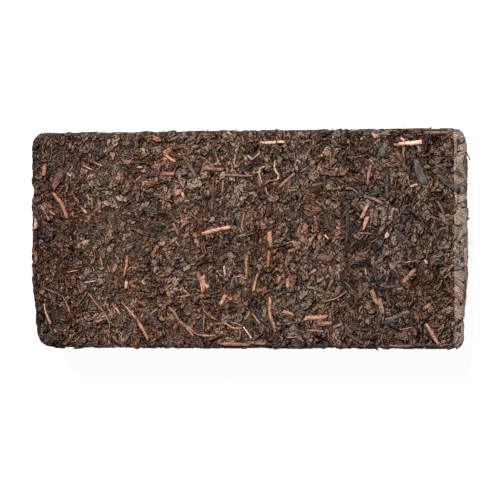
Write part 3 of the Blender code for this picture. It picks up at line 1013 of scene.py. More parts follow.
SCATTER_INPUTS = (
    ("Form", "NodeSocketObject"),
    ("Pieces", "NodeSocketCollection"),
    ("Placed stems", "NodeSocketObject"),
    ("Spacing", "NodeSocketFloat"),
    ("Crowding", "NodeSocketFloat"),
    ("Face share", "NodeSocketFloat"),
    ("Side share", "NodeSocketFloat"),
    ("Underside share", "NodeSocketFloat"),
    ("Seed", "NodeSocketInt"),
    ("Smallest", "NodeSocketFloat"),
    ("Largest", "NodeSocketFloat"),
    ("Lowest", "NodeSocketFloat"),
    ("Highest", "NodeSocketFloat"),
    ("Palest", "NodeSocketFloat"),
    ("Tone lean", "NodeSocketFloat"),
    ("Tilt", "NodeSocketFloat"),
    ("Turn", "NodeSocketFloat"),
    ("Crumple size", "NodeSocketFloat"),
    ("Crumple height", "NodeSocketFloat"),
    ("Groove reach", "NodeSocketFloat"),
    ("Groove depth", "NodeSocketFloat"),
    ("Press softness", "NodeSocketFloat"),
    ("Spring", "NodeSocketFloat"),
    ("Material", "NodeSocketMaterial"),
)


def scatter_tree():
    """Nodes that scatter pieces over the form and press them level with the mould's wall."""
    tree, given = new_tree("pressed_pieces", SCATTER_INPUTS)
    place = add(tree, "GeometryNodeInputPosition").outputs[0]
    normal = add(tree, "GeometryNodeInputNormal").outputs[0]

    points, outward = scattered_points(tree, given, place, normal)
    pieces = turned_pieces(tree, given, points, outward, place)
    pieces = store(
        tree, pieces, BAKE_MAP, bake_places(tree, points), data_type="FLOAT2", domain="CORNER"
    )

    crumple = noise(tree, place, given["Crumple size"], rough=0.5)["Color"]
    crumple = vector_maths(tree, "SUBTRACT", crumple, (0.5, 0.5, 0.5))
    push = vector_maths(tree, "SCALE", crumple, given["Crumple height"])
    pieces = moved(tree, pieces, Offset=push)
    return finish_tree(tree, pressed(tree, given, pieces, place, normal), given["Material"])


def scattered_points(tree, given, place, normal):
    """Points on the form, by the share that its face, its sides and its underside take; each
    keeps its ceiling, its tone, its number and its size."""
    upward = split(tree, normal)[2]
    share = given["Side share"]
    for part, start, end in (("Face share", *FACE_SLOPES), ("Underside share", *UNDERSIDE_SLOPES)):
        share = remap(tree, upward, start, end, share, given[part])
    area = maths(tree, "MULTIPLY", given["Spacing"], given["Spacing"])
    inputs = {
        "Mesh": given["Geometry"], "Distance Min": given["Spacing"],
        "Density Max": maths(tree, "DIVIDE", given["Crowding"], area),
        "Density Factor": share, "Seed": given["Seed"],
    }
    spread = add(
        tree, "GeometryNodeDistributePointsOnFaces", inputs, distribute_method="POISSON"
    ).outputs

    lean = maths(tree, "POWER", draw(tree, given, 5), SMALL_LEAN)
    size = remap(tree, lean, 0.0, 1.0, given["Smallest"], given["Largest"])
    along = split(tree, place)[0]
    tone = maths(tree, "POWER", draw(tree, given, 2), given["Tone lean"])
    values = {
        "ceiling": remap(tree, draw(tree, given, 1), 0.0, 1.0, given["Lowest"], given["Highest"]),
        "tone_of": maths(tree, "MULTIPLY", tone, given["Palest"]),
        "cell": add(tree, "GeometryNodeInputIndex").outputs[0],
        "size_of": maths(tree, "MULTIPLY", size, from_end_to_end(tree, along, *SIZE_LEAN)),
    }
    points = spread["Points"]
    for label, value in values.items():
        points = store(tree, points, label, value)
    return points, spread["Normal"]


def turned_pieces(tree, given, points, outward, place):
    """A piece on each point, flat on the form, turned with the swirls and at random, tilted a
    little and let down to its ceiling."""
    inputs = {"Primary Axis": outward, "Secondary Axis": LIE_OF_LEAF}
    upright = add(
        tree, "FunctionNodeAxesToRotation", inputs, primary_axis="Z", secondary_axis="X"
    ).outputs[0]
    leans = split(tree, draw(tree, given, 3, "FLOAT_VECTOR", (-1.0, -1.0, -1.0), (1.0, 1.0, 1.0)))
    extra = draw(tree, given, 4, low=-1.0)
    flow = noise(tree, place, FLOW_SIZE, detail=1.0, rough=0.5)["Fac"]
    flow = maths(tree, "MULTIPLY", maths(tree, "SUBTRACT", flow, 0.5), FLOW_TURN)
    half_turn = maths(tree, "MULTIPLY", given["Turn"], 0.5)
    own_turn = maths(tree, "MULTIPLY", maths(tree, "ADD", leans[2], extra), half_turn)
    angles = vector(
        tree,
        maths(tree, "MULTIPLY", leans[0], given["Tilt"]),
        maths(tree, "MULTIPLY", leans[1], given["Tilt"]),
        maths(tree, "ADD", own_turn, flow),
    )
    tilted = add(tree, "FunctionNodeEulerToRotation", {0: angles}).outputs[0]
    rotation = add(
        tree, "FunctionNodeRotateRotation", {0: upright, 1: tilted}, rotation_space="LOCAL"
    ).outputs[0]

    inputs = {"Collection": given["Pieces"], "Separate Children": True, "Reset Children": True}
    kinds = add(tree, "GeometryNodeCollectionInfo", inputs).outputs[0]
    inputs = {
        "Points": points, "Instance": kinds, "Pick Instance": True,
        "Instance Index": draw(tree, given, 6, "INT", 0, 1000),
        "Rotation": rotation, "Scale": stored(tree, "size_of"),
    }
    placed = add(tree, "GeometryNodeInstanceOnPoints", inputs).outputs[0]
    drop = vector(tree, z=stored(tree, "ceiling"))
    inputs = {"Instances": placed, "Translation": drop, "Local Space": True}
    lowered = add(tree, "GeometryNodeTranslateInstances", inputs).outputs[0]
    return add(tree, "GeometryNodeRealizeInstances", {"Geometry": lowered}).outputs[0]


def bake_places(tree, points):
    """Each piece's own patch, moved into a square of the bake map that no other piece has."""
    count = add(
        tree, "GeometryNodeAttributeDomainSize", {"Geometry": points}, component="POINTCLOUD"
    ).outputs["Point Count"]
    side = maths(tree, "CEIL", maths(tree, "SQRT", count))
    cell = stored(tree, "cell")
    column = maths(tree, "FLOORED_MODULO", cell, side)
    row = maths(tree, "FLOOR", maths(tree, "DIVIDE", cell, side))
    own = stored(tree, BAKE_MAP, "FLOAT_VECTOR")
    shifted = vector_maths(tree, "ADD", own, vector(tree, column, row))
    return vector_maths(tree, "SCALE", shifted, maths(tree, "DIVIDE", 1.0, side))


def pressed(tree, given, pieces, place, normal):
    """The pieces pressed level with the mould's wall, lower beside the placed stems, and never
    below the table that the brick lies on. They remember how far each point is sunk."""
    wall = add(tree, "GeometryNodeObjectInfo", {"Object": given["Form"]}).outputs["Geometry"]
    nearest = add(tree, "GeometryNodeProximity", {0: wall}, target_element="FACES").outputs
    inputs = {"Mesh": wall, "Value": normal}
    outward = add(
        tree, "GeometryNodeSampleNearestSurface", inputs, data_type="FLOAT_VECTOR"
    ).outputs[0]
    away = vector_maths(tree, "SUBTRACT", place, nearest["Position"])
    height = vector_maths(tree, "DOT_PRODUCT", away, outward)

    inputs = {"Object": given["Placed stems"]}
    stems = add(tree, "GeometryNodeObjectInfo", inputs).outputs["Geometry"]
    beside = add(tree, "GeometryNodeProximity", {0: stems}, target_element="FACES").outputs
    groove = remap(
        tree, beside["Distance"], 0.0, given["Groove reach"], given["Groove depth"], 0.0,
        interpolation_type="SMOOTHSTEP",
    )
    roof = maths(tree, "SUBTRACT", stored(tree, "ceiling"), groove)
    above = maths(tree, "SUBTRACT", height, roof)
    sprung = maths(tree, "MULTIPLY_ADD", above, given["Spring"], roof)
    level = maths(tree, "SMOOTH_MIN", height, sprung, given["Press softness"])
    shift = vector_maths(tree, "SCALE", outward, maths(tree, "SUBTRACT", level, height))

    grain = stored(tree, "grain", "FLOAT_VECTOR")
    grain = vector_maths(tree, "SCALE", grain, stored(tree, "size_of"))
    # how far each point is sunk, which the materials turn into painted shade
    pieces = store(tree, pieces, "sunk", maths(tree, "MULTIPLY", level, -1.0))
    pieces = store(tree, pieces, "grain", grain, data_type="FLOAT_VECTOR")
    pieces = store(tree, pieces, "tone", stored(tree, "tone_of"))
    pieces = moved(tree, pieces, Offset=shift)
    rested = vector_maths(tree, "MAXIMUM", place, (-1.0, -1.0, LOWEST))
    return moved(tree, pieces, Position=rested)


# ---------------------------------------------------------------- materials


def ramp(node, stops):
    """Fill a colour ramp with (position, hex colour) stops."""
    elements = node.color_ramp.elements
    while len(elements) > 1:
        elements.remove(elements[-1])
    elements[0].position, elements[0].color = stops[0][0], linear(stops[0][1])
    for position, colour in stops[1:]:
        elements.new(position).color = linear(colour)


LEAF_TONES = (
    (0.0, "2E221C"),  # black-brown, fully fermented
    (0.07, "3A322E"),  # slate, waxy upper side
    (0.14, "4A3E38"),
    (0.25, "583C2F"),
    (0.38, "604A3B"),  # umber, the commonest
    (0.5, "614E43"),
    (0.6, "5B4F3C"),  # olive
    (0.68, "694F3C"),  # ochre brown
    (0.77, "67493B"),  # reddish
    (0.86, "634F43"),
    (0.93, "67513F"),  # tan
    (0.98, "675A4F"),  # pale, dusty
)
STEM_TONES = (
    (0.0, "1E1917"),  # black
    (0.1, "352E2A"),
    (0.18, "463A34"),
    (0.25, "4A2D1D"),  # dark red-brown
    (0.32, "56443B"),  # grey-pink
    (0.42, "6C4F3F"),
    (0.52, "724B34"),
    (0.62, "855A3F"),  # ochre
    (0.7, "936C54"),
    (0.8, "B8947B"),  # pale tan
    (0.9, "8A7767"),
    (1.0, "988656"),  # straw
)
SHADE_BROWN = "130804"  # painted shade: what is left of the light deep between the leaves
DARKEST = "0D0502"  # no leaf is darker than this
CHANNEL_LEAN = (0.86, 1.04, 1.14)  # powers of the light in red, green and blue: shade reddens
LIGHTEST = 0.9  # the leaf's light levels off toward this
LIGHT_BEND = 0.35  # as softly as this
SATURATION = 0.93  # of the whole brick, and how far the broad patches change it
PATCH_SATURATION = 0.6
PATCH_HUE = 0.03
WARM_SATURATION = 0.25  # how much browner the leaf is at WARM_AT, and greyer at the ends
SHADE_FROM = 0.45 * MM  # leaf that is sunk by this starts to take painted shade
SHADE_BY = (2.0 * MM, 1.0 * MM)  # and is dark with painted shade when sunk by this, at the -X and the +X end
CREASE_WIDTHS = (0.045, 0.08)  # of the long and the short creases, in values of their noise
CRUMBLED = (0.51, 0.56)  # values of a noise between which short creases appear
CRUMBLE_LEAN = (0.08, -0.06)  # what is added to that noise at the -X and the +X end
SHINE = (0.2, 1.6, 0.0, 0.9)  # the darkest and lightest light, and their specular levels
LEAF_IOR = 1.45
TONE_STEP = 91.0  # how far apart in a pattern's noise two pieces are, by their tones
# These four are by the size of a facet
WRINKLE_SIZE = 0.32
FACET_BEND = 1.6  # how far the edges of facets and short creases are bent
CRUMBLE_SIZE = 2
SHORT_CREASE_SIZE = 1.1

# How patterns darken and lighten the leaf: the values over which they do, and how far down
# and up, as shares of the material's contrast or mottle
STREAK_SWING = (0.37, 0.63, 0.9, 0.8)
FACET_SWING = (0.0, 1.0, 0.1, 0.1)
WRINKLE_SWING = (0.35, 0.65, 1.5, 0.9)
PATCH_SPREAD = (0.3, 0.7)
PATCH_SWING = (*PATCH_SPREAD, 0.2, 0.2)
# painted shade at a leaf's rim, where it lies on the leaf below: the rim values over which it comes
# in
RIM_SPREAD = (0.55, 0.8)
BAND_SWING = 2.5

# How far patterns raise the surface, in mm: first three by contrast, and less than 0 is down
STREAK_RISE = 1.8
FACET_RISE = -0.15
WRINKLE_RISE = 0.5
CREASE_RISE = 0.6

# The finish of each material. streak and crease hold the sizes of light streaks and of dark
# creases, along the piece's grain and across it, and facet is the size of small uneven facets;
# darkest and edge are the light that is left in a crease and at the rim; contrast is how
# strong the patterns are, and mottle how strong the broad patches and bands.
TEA_FINISHES = {
    # packed fines under the leaves: coarse, dull and even
    "pressed_fines": dict(
        tones=LEAF_TONES, streak=(1.4 * MM, 2.5 * MM, 1.4 * MM), facet=1.6 * MM,
        crease=(3 * MM, 3 * MM, 3 * MM), darkest=0.1, roughness=0.6, contrast=0.8, edge=1.0,
        mottle=0.15,
    ),
    # fermented leaf that lies open: matt, finely wrinkled umber to olive
    "flat_leaf": dict(
        tones=LEAF_TONES, streak=(3 * MM, 1.4 * MM, 1.4 * MM), facet=1.8 * MM,
        crease=(5 * MM, 3 * MM, 3 * MM), darkest=0.03, roughness=0.5, contrast=0.5, edge=0.1,
        mottle=0.35,
    ),
    # fermented leaf twisted into strips: ribs along it with a weak waxy shine
    "twisted_leaf": dict(
        tones=LEAF_TONES, streak=(4 * MM, 0.9 * MM, 0.9 * MM), facet=1.6 * MM,
        crease=(7 * MM, 2 * MM, 2 * MM), darkest=0.03, roughness=0.45, contrast=0.6, edge=0.1,
        mottle=0.35,
    ),
    # cut woody stem: dry, paler, with straight fibres
    "woody_stem": dict(
        tones=STEM_TONES, streak=(5 * MM, 0.5 * MM, 0.5 * MM), facet=2 * MM,
        crease=(12 * MM, 2 * MM, 2 * MM), darkest=0.6, roughness=0.5, contrast=0.38, edge=0.3,
        mottle=0.1,
    ),
}


def attribute(tree, name, output="Fac"):
    """A value that the mesh keeps for each point."""
    return add(tree, "ShaderNodeAttribute", attribute_name=name).outputs[output]


def product(tree, first, *rest):
    """All the values multiplied."""
    for value in rest:
        first = maths(tree, "MULTIPLY", first, value)
    return first


def swing(tree, value, share, start, end, down, up):
    """A factor round 1, which goes down and up by shares as the value goes from start to end."""
    return remap(tree, value, start, end, 1 - down * share, 1 + up * share)


def crossing(tree, value, width, darkest):
    """A thin line where a noise crosses its middle: darkest there, and 1 away from it."""
    side = maths(tree, "ABSOLUTE", maths(tree, "SUBTRACT", value, 0.5))
    return remap(tree, side, 0.0, width, darkest, 1.0)


def grain_noise(tree, grain, own, sizes, detail, rough):
    """Noise with sizes along a piece's grain and across it, another one for each piece."""
    scale = [1 / size for size in sizes]
    stretched = add(tree, "ShaderNodeMapping", {"Vector": grain, "Scale": scale}).outputs[0]
    inputs = {"Vector": stretched, "W": own, "Scale": 1.0, "Detail": detail, "Roughness": rough}
    return add(tree, "ShaderNodeTexNoise", inputs, noise_dimensions="4D").outputs["Fac"]


def dark_bands(tree, along):
    """How bright the leaf is along X: some bands across the brick are darker than the rest."""
    bands = add(tree, "ShaderNodeFloatCurve", {"Value": from_end_to_end(tree, along, 0.0, 1.0)})
    curve = bands.mapping.curves[0]
    for i, (x, brightness) in enumerate(DARK_BANDS):
        spot = (x * MM / FORM_LENGTH + 0.5, brightness)
        if i < 2:
            curve.points[i].location = spot
        else:
            curve.points.new(*spot)
    bands.mapping.update()
    return bands.outputs[0]


def crease_light(tree, place, bent, long_crease, facet, darkest):
    """The light that is left in dark creases: long ones along the grain, and short ones in
    crumbled places, which are more common toward the brick's -X end."""
    lean = from_end_to_end(tree, split(tree, place)[0], *CRUMBLE_LEAN)
    crumbled = maths(tree, "ADD", noise(tree, place, CRUMBLE_SIZE * facet)["Fac"], lean)
    whole = remap(tree, crumbled, *CRUMBLED, 1.0, darkest)
    short_crease = noise(tree, bent, SHORT_CREASE_SIZE * facet, rough=0.5)["Fac"]
    long_width, short_width = CREASE_WIDTHS
    return product(
        tree,
        crossing(tree, long_crease, long_width, darkest),
        maths(tree, "MAXIMUM", crossing(tree, short_crease, short_width, 0.0), whole),
    )


def tea_material(name, tones, streak, facet, crease, darkest, roughness, contrast, edge, mottle):
    """Dry pressed tea: each piece has its own tone, is streaked along its grain, a little uneven,
    and creased, with painted shade in its creases. It is darker round its rim, which on a leaf is
    painted shade where it lies on its neighbours. What lies deep between its neighbours is painted
    with shade that goes to a dark red-brown."""
    material = bpy.data.materials.new(name)
    material.use_nodes = True
    tree = material.node_tree
    shader = tree.nodes["Principled BSDF"]

    tone = attribute(tree, "tone")
    grain = attribute(tree, "grain", "Vector")
    place = add(tree, "ShaderNodeTexCoord").outputs["Object"]
    along = split(tree, place)[0]
    own = maths(tree, "MULTIPLY", tone, TONE_STEP)

    # the patterns: streaks, facets with bent edges, wrinkles, painted shade in creases, and broad
    # patches
    streaks = grain_noise(tree, grain, own, streak, detail=4.0, rough=0.8)
    bend = vector_maths(tree, "SCALE", noise(tree, place, facet)["Color"], FACET_BEND * facet)
    bent = vector_maths(tree, "ADD", place, bend)
    facets = add(tree, "ShaderNodeTexVoronoi", {"Vector": bent, "Scale": 1 / facet}).outputs
    wrinkles = noise(tree, place, WRINKLE_SIZE * facet, detail=1.0)["Fac"]
    long_crease = grain_noise(tree, grain, own, crease, detail=2.0, rough=0.5)
    creased = crease_light(tree, place, bent, long_crease, facet, darkest)
    brighter, stronger, redder = split(tree, noise(tree, place, BANK_SIZE, detail=4.0)["Color"])

    light = product(
        tree,
        swing(tree, streaks, contrast, *STREAK_SWING),
        swing(tree, split(tree, facets["Color"])[0], contrast, *FACET_SWING),
        swing(tree, wrinkles, contrast, *WRINKLE_SWING),
        # painted shade at a leaf's rim, where it lies on the leaf below; a stem is darker along
        # both sides
        remap(tree, attribute(tree, "rim"), *RIM_SPREAD, 1.0, edge),
        # painted shade in the creases
        creased,
        swing(tree, brighter, mottle, *PATCH_SWING),
        remap(tree, dark_bands(tree, along), 0.0, 1.0, 1 - BAND_SWING * mottle, 1.0, clamp=False),
    )
    # creases may be very dark, and light spots are only a little lighter than the leaf
    light = maths(tree, "SMOOTH_MIN", light, LIGHTEST, LIGHT_BEND)
    tint = vector(tree, *[maths(tree, "POWER", light, lean) for lean in CHANNEL_LEAN])

    colours = add(tree, "ShaderNodeValToRGB", {"Fac": tone})
    ramp(colours, tones)
    turn = PATCH_HUE * mottle
    change = PATCH_SATURATION * mottle
    warm = WARM_SATURATION * mottle
    saturation = remap(tree, stronger, *PATCH_SPREAD, SATURATION - change, SATURATION + change)
    from_warm = maths(tree, "ABSOLUTE", maths(tree, "SUBTRACT", along, WARM_AT))
    inputs = {
        "Color": colours.outputs["Color"],
        "Hue": remap(tree, redder, *PATCH_SPREAD, 0.5 - turn, 0.5 + turn),
        "Saturation": maths(
            tree, "ADD", saturation, remap(tree, from_warm, *WARM_REACH, warm, -warm)
        ),
    }
    varied = add(tree, "ShaderNodeHueSaturation", inputs).outputs[0]
    shade = vector_maths(tree, "MULTIPLY", varied, tint)

    # painted shade deep between the leaves: sunk leaf goes to a dark red-brown; the leaf is pressed
    # closer toward the -X end, so less of it is painted dark there
    depth = remap(
        tree, attribute(tree, "sunk"), SHADE_FROM, from_end_to_end(tree, along, *SHADE_BY), 0.0, 1.0
    )
    inputs = {0: depth, 6: shade, 7: linear(SHADE_BROWN)}
    mixed = add(tree, "ShaderNodeMix", inputs, data_type="RGBA").outputs[2]
    colour = vector_maths(tree, "MAXIMUM", mixed, linear(DARKEST)[:3])
    tree.links.new(colour, shader.inputs["Base Color"])

    # only what stands proud shines
    proud = maths(tree, "SUBTRACT", 1.0, depth)
    shine = product(tree, proud, remap(tree, light, *SHINE))
    tree.links.new(shine, shader.inputs["Specular IOR Level"])
    shader.inputs["Roughness"].default_value = roughness
    shader.inputs["IOR"].default_value = LEAF_IOR

    relief = None
    for height, rise in (
        (streaks, STREAK_RISE * contrast), (facets["Distance"], FACET_RISE * contrast),
        (wrinkles, WRINKLE_RISE * contrast), (creased, CREASE_RISE),
    ):
        inputs = {"Height": height, "Strength": 1.0, "Distance": abs(rise) * MM}
        if relief:
            inputs["Normal"] = relief
        relief = add(tree, "ShaderNodeBump", inputs, invert=rise < 0).outputs[0]
    tree.links.new(relief, shader.inputs["Normal"])
    return material


def material_named(name):
    """One of the tea's materials, made once."""
    return bpy.data.materials.get(name) or tea_material(name, **TEA_FINISHES[name])


# ---------------------------------------------------------------- operators


def keep(piece):
    """Hand a finished piece over: it rides with the brick and stands for the plain solid."""
    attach(piece, BODY)
    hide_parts(NODE)


def needed(name):
    """An object that an earlier step made."""
    obj = bpy.data.objects.get(name)
    if obj is None:
        raise RuntimeError(f"{name} isn't there yet; run its own step first")
    return obj


def scatter(name, kinds, seed, material, sizes, spacing, layer, crumple, **changed):
    """Scatter pieces of different kinds over the brick, with their tops between the two heights
    of a layer, crumpled in places of a size by a height, and press them level."""
    form = needed(FORM)
    tree = bpy.data.node_groups.get("pressed_pieces") or scatter_tree()
    values = {
        "Form": form, "Pieces": kinds, "Placed stems": needed(PLACED_STEMS),
        "Spacing": spacing, "Crowding": CROWDING, "Seed": SEED + 100 * seed,
        "Face share": 1.0, "Side share": 0.85, "Underside share": 0.6,
        "Smallest": sizes[0], "Largest": sizes[1], "Lowest": layer[0], "Highest": layer[1],
        "Palest": 1.0, "Tone lean": 1.0, "Tilt": 0.12, "Turn": 1.6,
        "Crumple size": crumple[0], "Crumple height": crumple[1],
        "Groove reach": GROOVE_REACH, "Groove depth": GROOVE_DEPTH,
        "Press softness": PRESS_SOFTNESS, "Spring": 0.12, "Material": material_named(material),
    }
    for label, value in changed.items():
        values[label.replace("_", " ")] = value
    piece = run_tree(tree, form, values, name)
    remove_kinds(kinds)
    keep(piece)


class TEA_OT_form(bpy.types.Operator):
    """Make the mould's form, which every piece is pressed against"""

    bl_idname = "tea_brick.form"
    bl_label = "Mould's form"

    def execute(self, context):
        make_form(FORM, EDGE_ROUND)
        return {"FINISHED"}


class TEA_OT_mass(bpy.types.Operator):
    """Make the creased mass of packed leaf under the pieces that show"""

    bl_idname = "tea_brick.mass"
    bl_label = "Pressed mass"

    def execute(self, context):
        values = {
            "Depth": 0.4 * MM, "Lump size": 5 * MM, "Lump height": 0.7 * MM,
            "Crease size": 2.2 * MM, "Crease height": 1.2 * MM,
            "Material": material_named("pressed_fines"),
        }
        keep(run_tree(mass_tree(), needed(FORM), values, "pressed_mass"))
        return {"FINISHED"}


class TEA_OT_face_stems(bpy.types.Operator):
    """Lay the stems, scraps, hairs and twig ends where they show on the face and at its edges"""

    bl_idname = "tea_brick.face_stems"
    bl_label = "Stems on the face"

    def execute(self, context):
        piece = PieceMesh()
        rng = random.Random(SEED)
        for rows, taper, flatness in (
            (FACE_STEMS, STEM_TAPER, STEM_FLATNESS), (FACE_SCRAPS, SCRAP_TAPER, SCRAP_FLATNESS),
        ):
            for x, y, degrees, length, width, tone in rows:
                path = straight_path(rng, x, y, degrees, length)
                shares = (rng.uniform(*taper), 1, rng.uniform(0.8, 1.0))
                widths = [width * share for share in shares][:: rng.choice((1, -1))]
                lay_stem(piece, rng, path, widths, tone, flatness)
        for path, widths, tone in BENT_STEMS:
            lay_stem(piece, rng, [Vector(place) for place in path], widths, tone, BENT_FLATNESS)
        for path, height, thickness in EDGE_HAIRS:
            points = smooth_path([Vector((x, y, height)) * MM for x, y in path], PATH_STEPS)
            widths = [thickness * MM * (1 - 0.6 * i / len(points)) for i in range(len(points))]
            add_tube(piece, points, widths, widths, [1] * 3)
        for start, end, height, thickness, tone in LOOSE_TWIGS:
            ends = [Vector((x * MM, y * MM, height * MM)) for x, y in (start, end)]
            shares = [i / TWIG_STEPS for i in range(TWIG_STEPS + 1)]
            points = [ends[0].lerp(ends[1], t) for t in shares]
            for t, point in zip(shares, points):
                point.x += TWIG_BOW * math.sin(math.pi * t)
            widths = [thickness * MM * (1 - 0.5 * t) for t in shares]
            add_tube(piece, points, widths, widths, [1] * 6, tone=tone)
        stems = piece.finish(PLACED_STEMS)
        stems.data.materials.append(material_named("woody_stem"))
        keep(stems)
        return {"FINISHED"}


class TEA_OT_broad_leaves(bpy.types.Operator):
    """Press the broad torn leaves into the brick"""

    bl_idname = "tea_brick.broad_leaves"
    bl_label = "Broad leaves"

    def execute(self, context):
        leaf = context.scene.tea_leaf
        kinds = make_kinds(
            "broad_leaf_kind", 26, make_creased_leaf, along=9, across=7, slenders=(0.35, 0.65),
            thickness=0.05, cups=(-0.12, 0.02), creases=(0.02, 0.06),
        )
        scatter(
            "broad_leaves", kinds, seed=1, material="flat_leaf", sizes=leaf.broad_length,
            spacing=leaf.broad_spacing, layer=(-0.6 * MM, 0.1 * MM),
            crumple=(2.4 * MM, 0.15 * MM), Palest=0.72, Spring=0.08, Tilt=0.08,
        )
        return {"FINISHED"}


class TEA_OT_long_leaves(bpy.types.Operator):
    """Press the long creased strips of leaf into the brick"""

    bl_idname = "tea_brick.long_leaves"
    bl_label = "Long leaves"

    def execute(self, context):
        leaf = context.scene.tea_leaf
        kinds = make_kinds(
            "long_leaf_kind", 28, make_creased_leaf, along=9, across=4, slenders=(0.16, 0.4),
            thickness=0.06, cups=(-0.2, 0.06), creases=(0.03, 0.1),
        )
        scatter(
            "long_leaves", kinds, seed=2, material="twisted_leaf", sizes=leaf.long_length,
            spacing=leaf.long_spacing, layer=(-0.6 * MM, 0.15 * MM),
            crumple=(4 * MM, 0.35 * MM), Palest=0.84,
        )
        return {"FINISHED"}


class TEA_OT_leaf_flakes(bpy.types.Operator):
    """Press the small leaf flakes in between and over the broad leaves"""

    bl_idname = "tea_brick.leaf_flakes"
    bl_label = "Leaf flakes"

    def execute(self, context):
        leaf = context.scene.tea_leaf
        kinds = make_kinds(
            "leaf_flake_kind", 26, make_creased_leaf, along=5, across=3, slenders=(0.22, 0.6),
            thickness=0.12, cups=(-0.25, 0.0), creases=(0.04, 0.12),
        )
        scatter(
            "leaf_flakes", kinds, seed=3, material="flat_leaf", sizes=leaf.flake_length,
            spacing=leaf.flake_spacing, layer=(-1.3 * MM, -0.3 * MM),
            crumple=(2 * MM, 0.3 * MM), Palest=0.88, Spring=0.2,
        )
        return {"FINISHED"}


class TEA_OT_rolled_leaves(bpy.types.Operator):
    """Press the rolled, twisted leaf strips into the brick"""

    bl_idname = "tea_brick.rolled_leaves"
    bl_label = "Rolled leaves"

    def execute(self, context):
        leaf = context.scene.tea_leaf
        kinds = make_kinds("rolled_leaf_kind", 24, make_rolled_leaf)
        scatter(
            "rolled_leaves", kinds, seed=4, material="twisted_leaf", sizes=leaf.rolled_length,
            spacing=leaf.rolled_spacing, layer=(-0.8 * MM, 0.05 * MM),
            crumple=(3 * MM, 1.3 * MM), Palest=0.95, Spring=0.2,
        )
        return {"FINISHED"}


class TEA_OT_dull_stems(bpy.types.Operator):
    """Scatter short dull stems over the whole brick"""

    bl_idname = "tea_brick.dull_stems"
    bl_label = "Dull stems"

    def execute(self, context):
        stem = context.scene.tea_stem
        kinds = make_kinds("dull_stem_kind", 14, make_cut_stem)
        scatter(
            "dull_stems", kinds, seed=5, material="woody_stem", sizes=stem.stem_length,
            spacing=stem.dull_spacing, layer=(-0.7 * MM, 0.05 * MM),
            crumple=(8 * MM, 0.6 * MM), Palest=0.35, Turn=3.1,
        )
        return {"FINISHED"}


class TEA_OT_bright_stems(bpy.types.Operator):
    """Scatter bright cut stems over the sides and the underside, as dense as on the face"""

    bl_idname = "tea_brick.bright_stems"
    bl_label = "Bright stems"

    def execute(self, context):
        stem = context.scene.tea_stem
        kinds = make_kinds("bright_stem_kind", 14, make_cut_stem)
        scatter(
            "bright_stems", kinds, seed=6, material="woody_stem", sizes=stem.stem_length,
            spacing=stem.bright_spacing, layer=(-0.3 * MM, 0.15 * MM),
            crumple=(8 * MM, 0.6 * MM), Face_share=0.0, Side_share=1.0, Underside_share=1.0,
            Tone_lean=0.6, Palest=0.95, Turn=3.1,
        )
        return {"FINISHED"}


class TEA_OT_fibres(bpy.types.Operator):
    """Scatter thin fibres of stem over the brick"""

    bl_idname = "tea_brick.fibres"
    bl_label = "Fibres"

    def execute(self, context):
        stem = context.scene.tea_stem
        kinds = make_kinds("fibre_kind", 20, make_fibre)
        scatter(
            "fibres", kinds, seed=7, material="woody_stem", sizes=stem.fibre_length,
            spacing=stem.fibre_spacing, layer=(-0.3 * MM, 0.3 * MM),
            crumple=(3 * MM, 1.2 * MM), Palest=0.85, Turn=3.1, Tilt=0.3, Spring=0.4,
        )
        return {"FINISHED"}


class TEA_OT_crumbs(bpy.types.Operator):
    """Fill the gaps between the leaves with crumbs"""

    bl_idname = "tea_brick.crumbs"
    bl_label = "Crumbs"

    def execute(self, context):
        leaf = context.scene.tea_leaf
        kinds = make_kinds("crumb_kind", 16, make_crumb)
        scatter(
            "leaf_crumbs", kinds, seed=8, material="flat_leaf", sizes=leaf.crumb_length,
            spacing=leaf.crumb_spacing, layer=(-1.5 * MM, -0.6 * MM),
            crumple=(1.5 * MM, 0.5 * MM), Tilt=0.45, Turn=3.1, Palest=0.95,
        )
        return {"FINISHED"}


class TEA_OT_stage(bpy.types.Operator):
    """Set up the white floor, the soft studio light and the camera"""

    bl_idname = "tea_brick.stage"
    bl_label = "Stage"

    def execute(self, context):
        stage = context.scene.tea_stage
        add_floor(stage)
        add_light("overhead_softbox", LIGHT_PLACE, LIGHT_SIZE, stage.light_power)
        world = bpy.data.worlds.new("studio")
        context.scene.world = world
        world.use_nodes = True
        background = world.node_tree.nodes["Background"]
        background.inputs["Color"].default_value = linear(stage.fill_colour)
        background.inputs["Strength"].default_value = stage.sky_strength
        context.scene.view_settings.view_transform = "Standard"
        add_camera()
        return {"FINISHED"}


def add_floor(stage):
    """A white table that shows no edge in the view."""
    bm = bmesh.new()
    bmesh.ops.create_grid(bm, x_segments=1, y_segments=1, size=FLOOR_HALF)
    mesh = bpy.data.meshes.new("floor")
    bm.to_mesh(mesh)
    bm.free()
    floor = link_object("floor", mesh)
    floor.location.z = -FLOOR_DROP
    material = bpy.data.materials.new("white_table")
    material.use_nodes = True
    shader = material.node_tree.nodes["Principled BSDF"]
    shader.inputs["Base Color"].default_value = linear(stage.floor_colour)
    shader.inputs["Roughness"].default_value = 0.9
    shader.inputs["Specular IOR Level"].default_value = 0
    shader.inputs["Emission Color"].default_value = (1, 1, 1, 1)
    shader.inputs["Emission Strength"].default_value = FLOOR_GLOW
    mesh.materials.append(material)


def add_light(name, place, size, power):
    """A square soft light that faces the brick."""
    data = bpy.data.lights.new(name, "AREA")
    data.shape = "SQUARE"
    data.size = size
    data.energy = power
    lamp = bpy.data.objects.new(name, data)
    bpy.context.scene.collection.objects.link(lamp)
    lamp.location = place
    lamp.rotation_euler = (-Vector(place)).to_track_quat("-Z", "Y").to_euler()


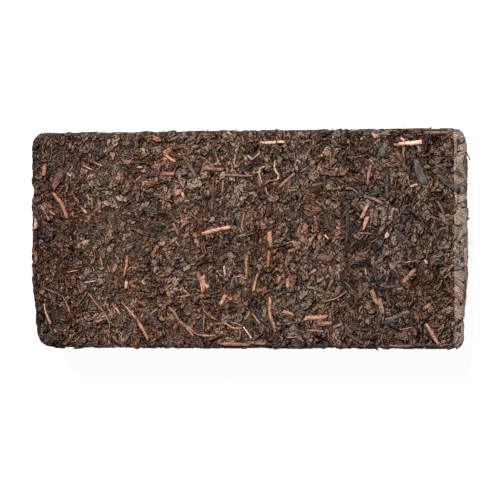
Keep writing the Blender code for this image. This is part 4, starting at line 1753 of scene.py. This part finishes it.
def add_camera():
    """The camera straight above the brick, a little towards its +X end."""
    data = bpy.data.cameras.new("camera")
    data.lens = CAMERA_LENS
    data.sensor_width = CAMERA_FILM
    data.clip_end = CAMERA_REACH
    camera = bpy.data.objects.new("camera", data)
    bpy.context.scene.collection.objects.link(camera)
    place, aim = Vector(CAMERA_PLACE), Vector(CAMERA_AIM)
    ahead = (aim - place).normalized()
    side = ahead.cross(Vector((0, 1, 0))).normalized()
    up = side.cross(ahead)
    facing = Matrix((side, up, -ahead)).transposed().to_4x4()
    camera.matrix_world = Matrix.Translation(place) @ facing @ Matrix.Rotation(CAMERA_ROLL, 4, "Z")
    bpy.context.scene.camera = camera


STEPS = (
    TEA_OT_form,
    TEA_OT_face_stems,
    TEA_OT_mass,
    TEA_OT_broad_leaves,
    TEA_OT_long_leaves,
    TEA_OT_leaf_flakes,
    TEA_OT_rolled_leaves,
    TEA_OT_dull_stems,
    TEA_OT_bright_stems,
    TEA_OT_fibres,
    TEA_OT_crumbs,
    TEA_OT_stage,
)
SETTINGS = {"tea_leaf": LeafSettings, "tea_stem": StemSettings, "tea_stage": StageSettings}


class TEA_PT_sidebar(bpy.types.Panel):
    """The steps of the tea brick in the order in which they run"""

    bl_idname = "TEA_PT_sidebar"
    bl_label = "Tea brick"
    bl_space_type = "VIEW_3D"
    bl_region_type = "UI"
    bl_category = "Tea brick"

    def draw(self, context):
        for step in STEPS:
            self.layout.operator(step.bl_idname)
        for name, group in SETTINGS.items():
            box = self.layout.box()
            for label in group.__annotations__:
                box.prop(getattr(context.scene, name), label)


def register():
    """Register the settings, the steps and the panel."""
    for name, group in SETTINGS.items():
        bpy.utils.register_class(group)
        setattr(bpy.types.Scene, name, bpy.props.PointerProperty(type=group))
    for step in STEPS:
        bpy.utils.register_class(step)
    bpy.utils.register_class(TEA_PT_sidebar)


def unregister():
    """Take all of it out again."""
    bpy.utils.unregister_class(TEA_PT_sidebar)
    for step in reversed(STEPS):
        bpy.utils.unregister_class(step)
    for name, group in SETTINGS.items():
        delattr(bpy.types.Scene, name)
        bpy.utils.unregister_class(group)


def main():
    """Build the brick step by step."""
    register()
    for step in STEPS:
        group, name = step.bl_idname.split(".")
        getattr(getattr(bpy.ops, group), name)()
    discard(needed(FORM))


if __name__ == "__main__":
    main()
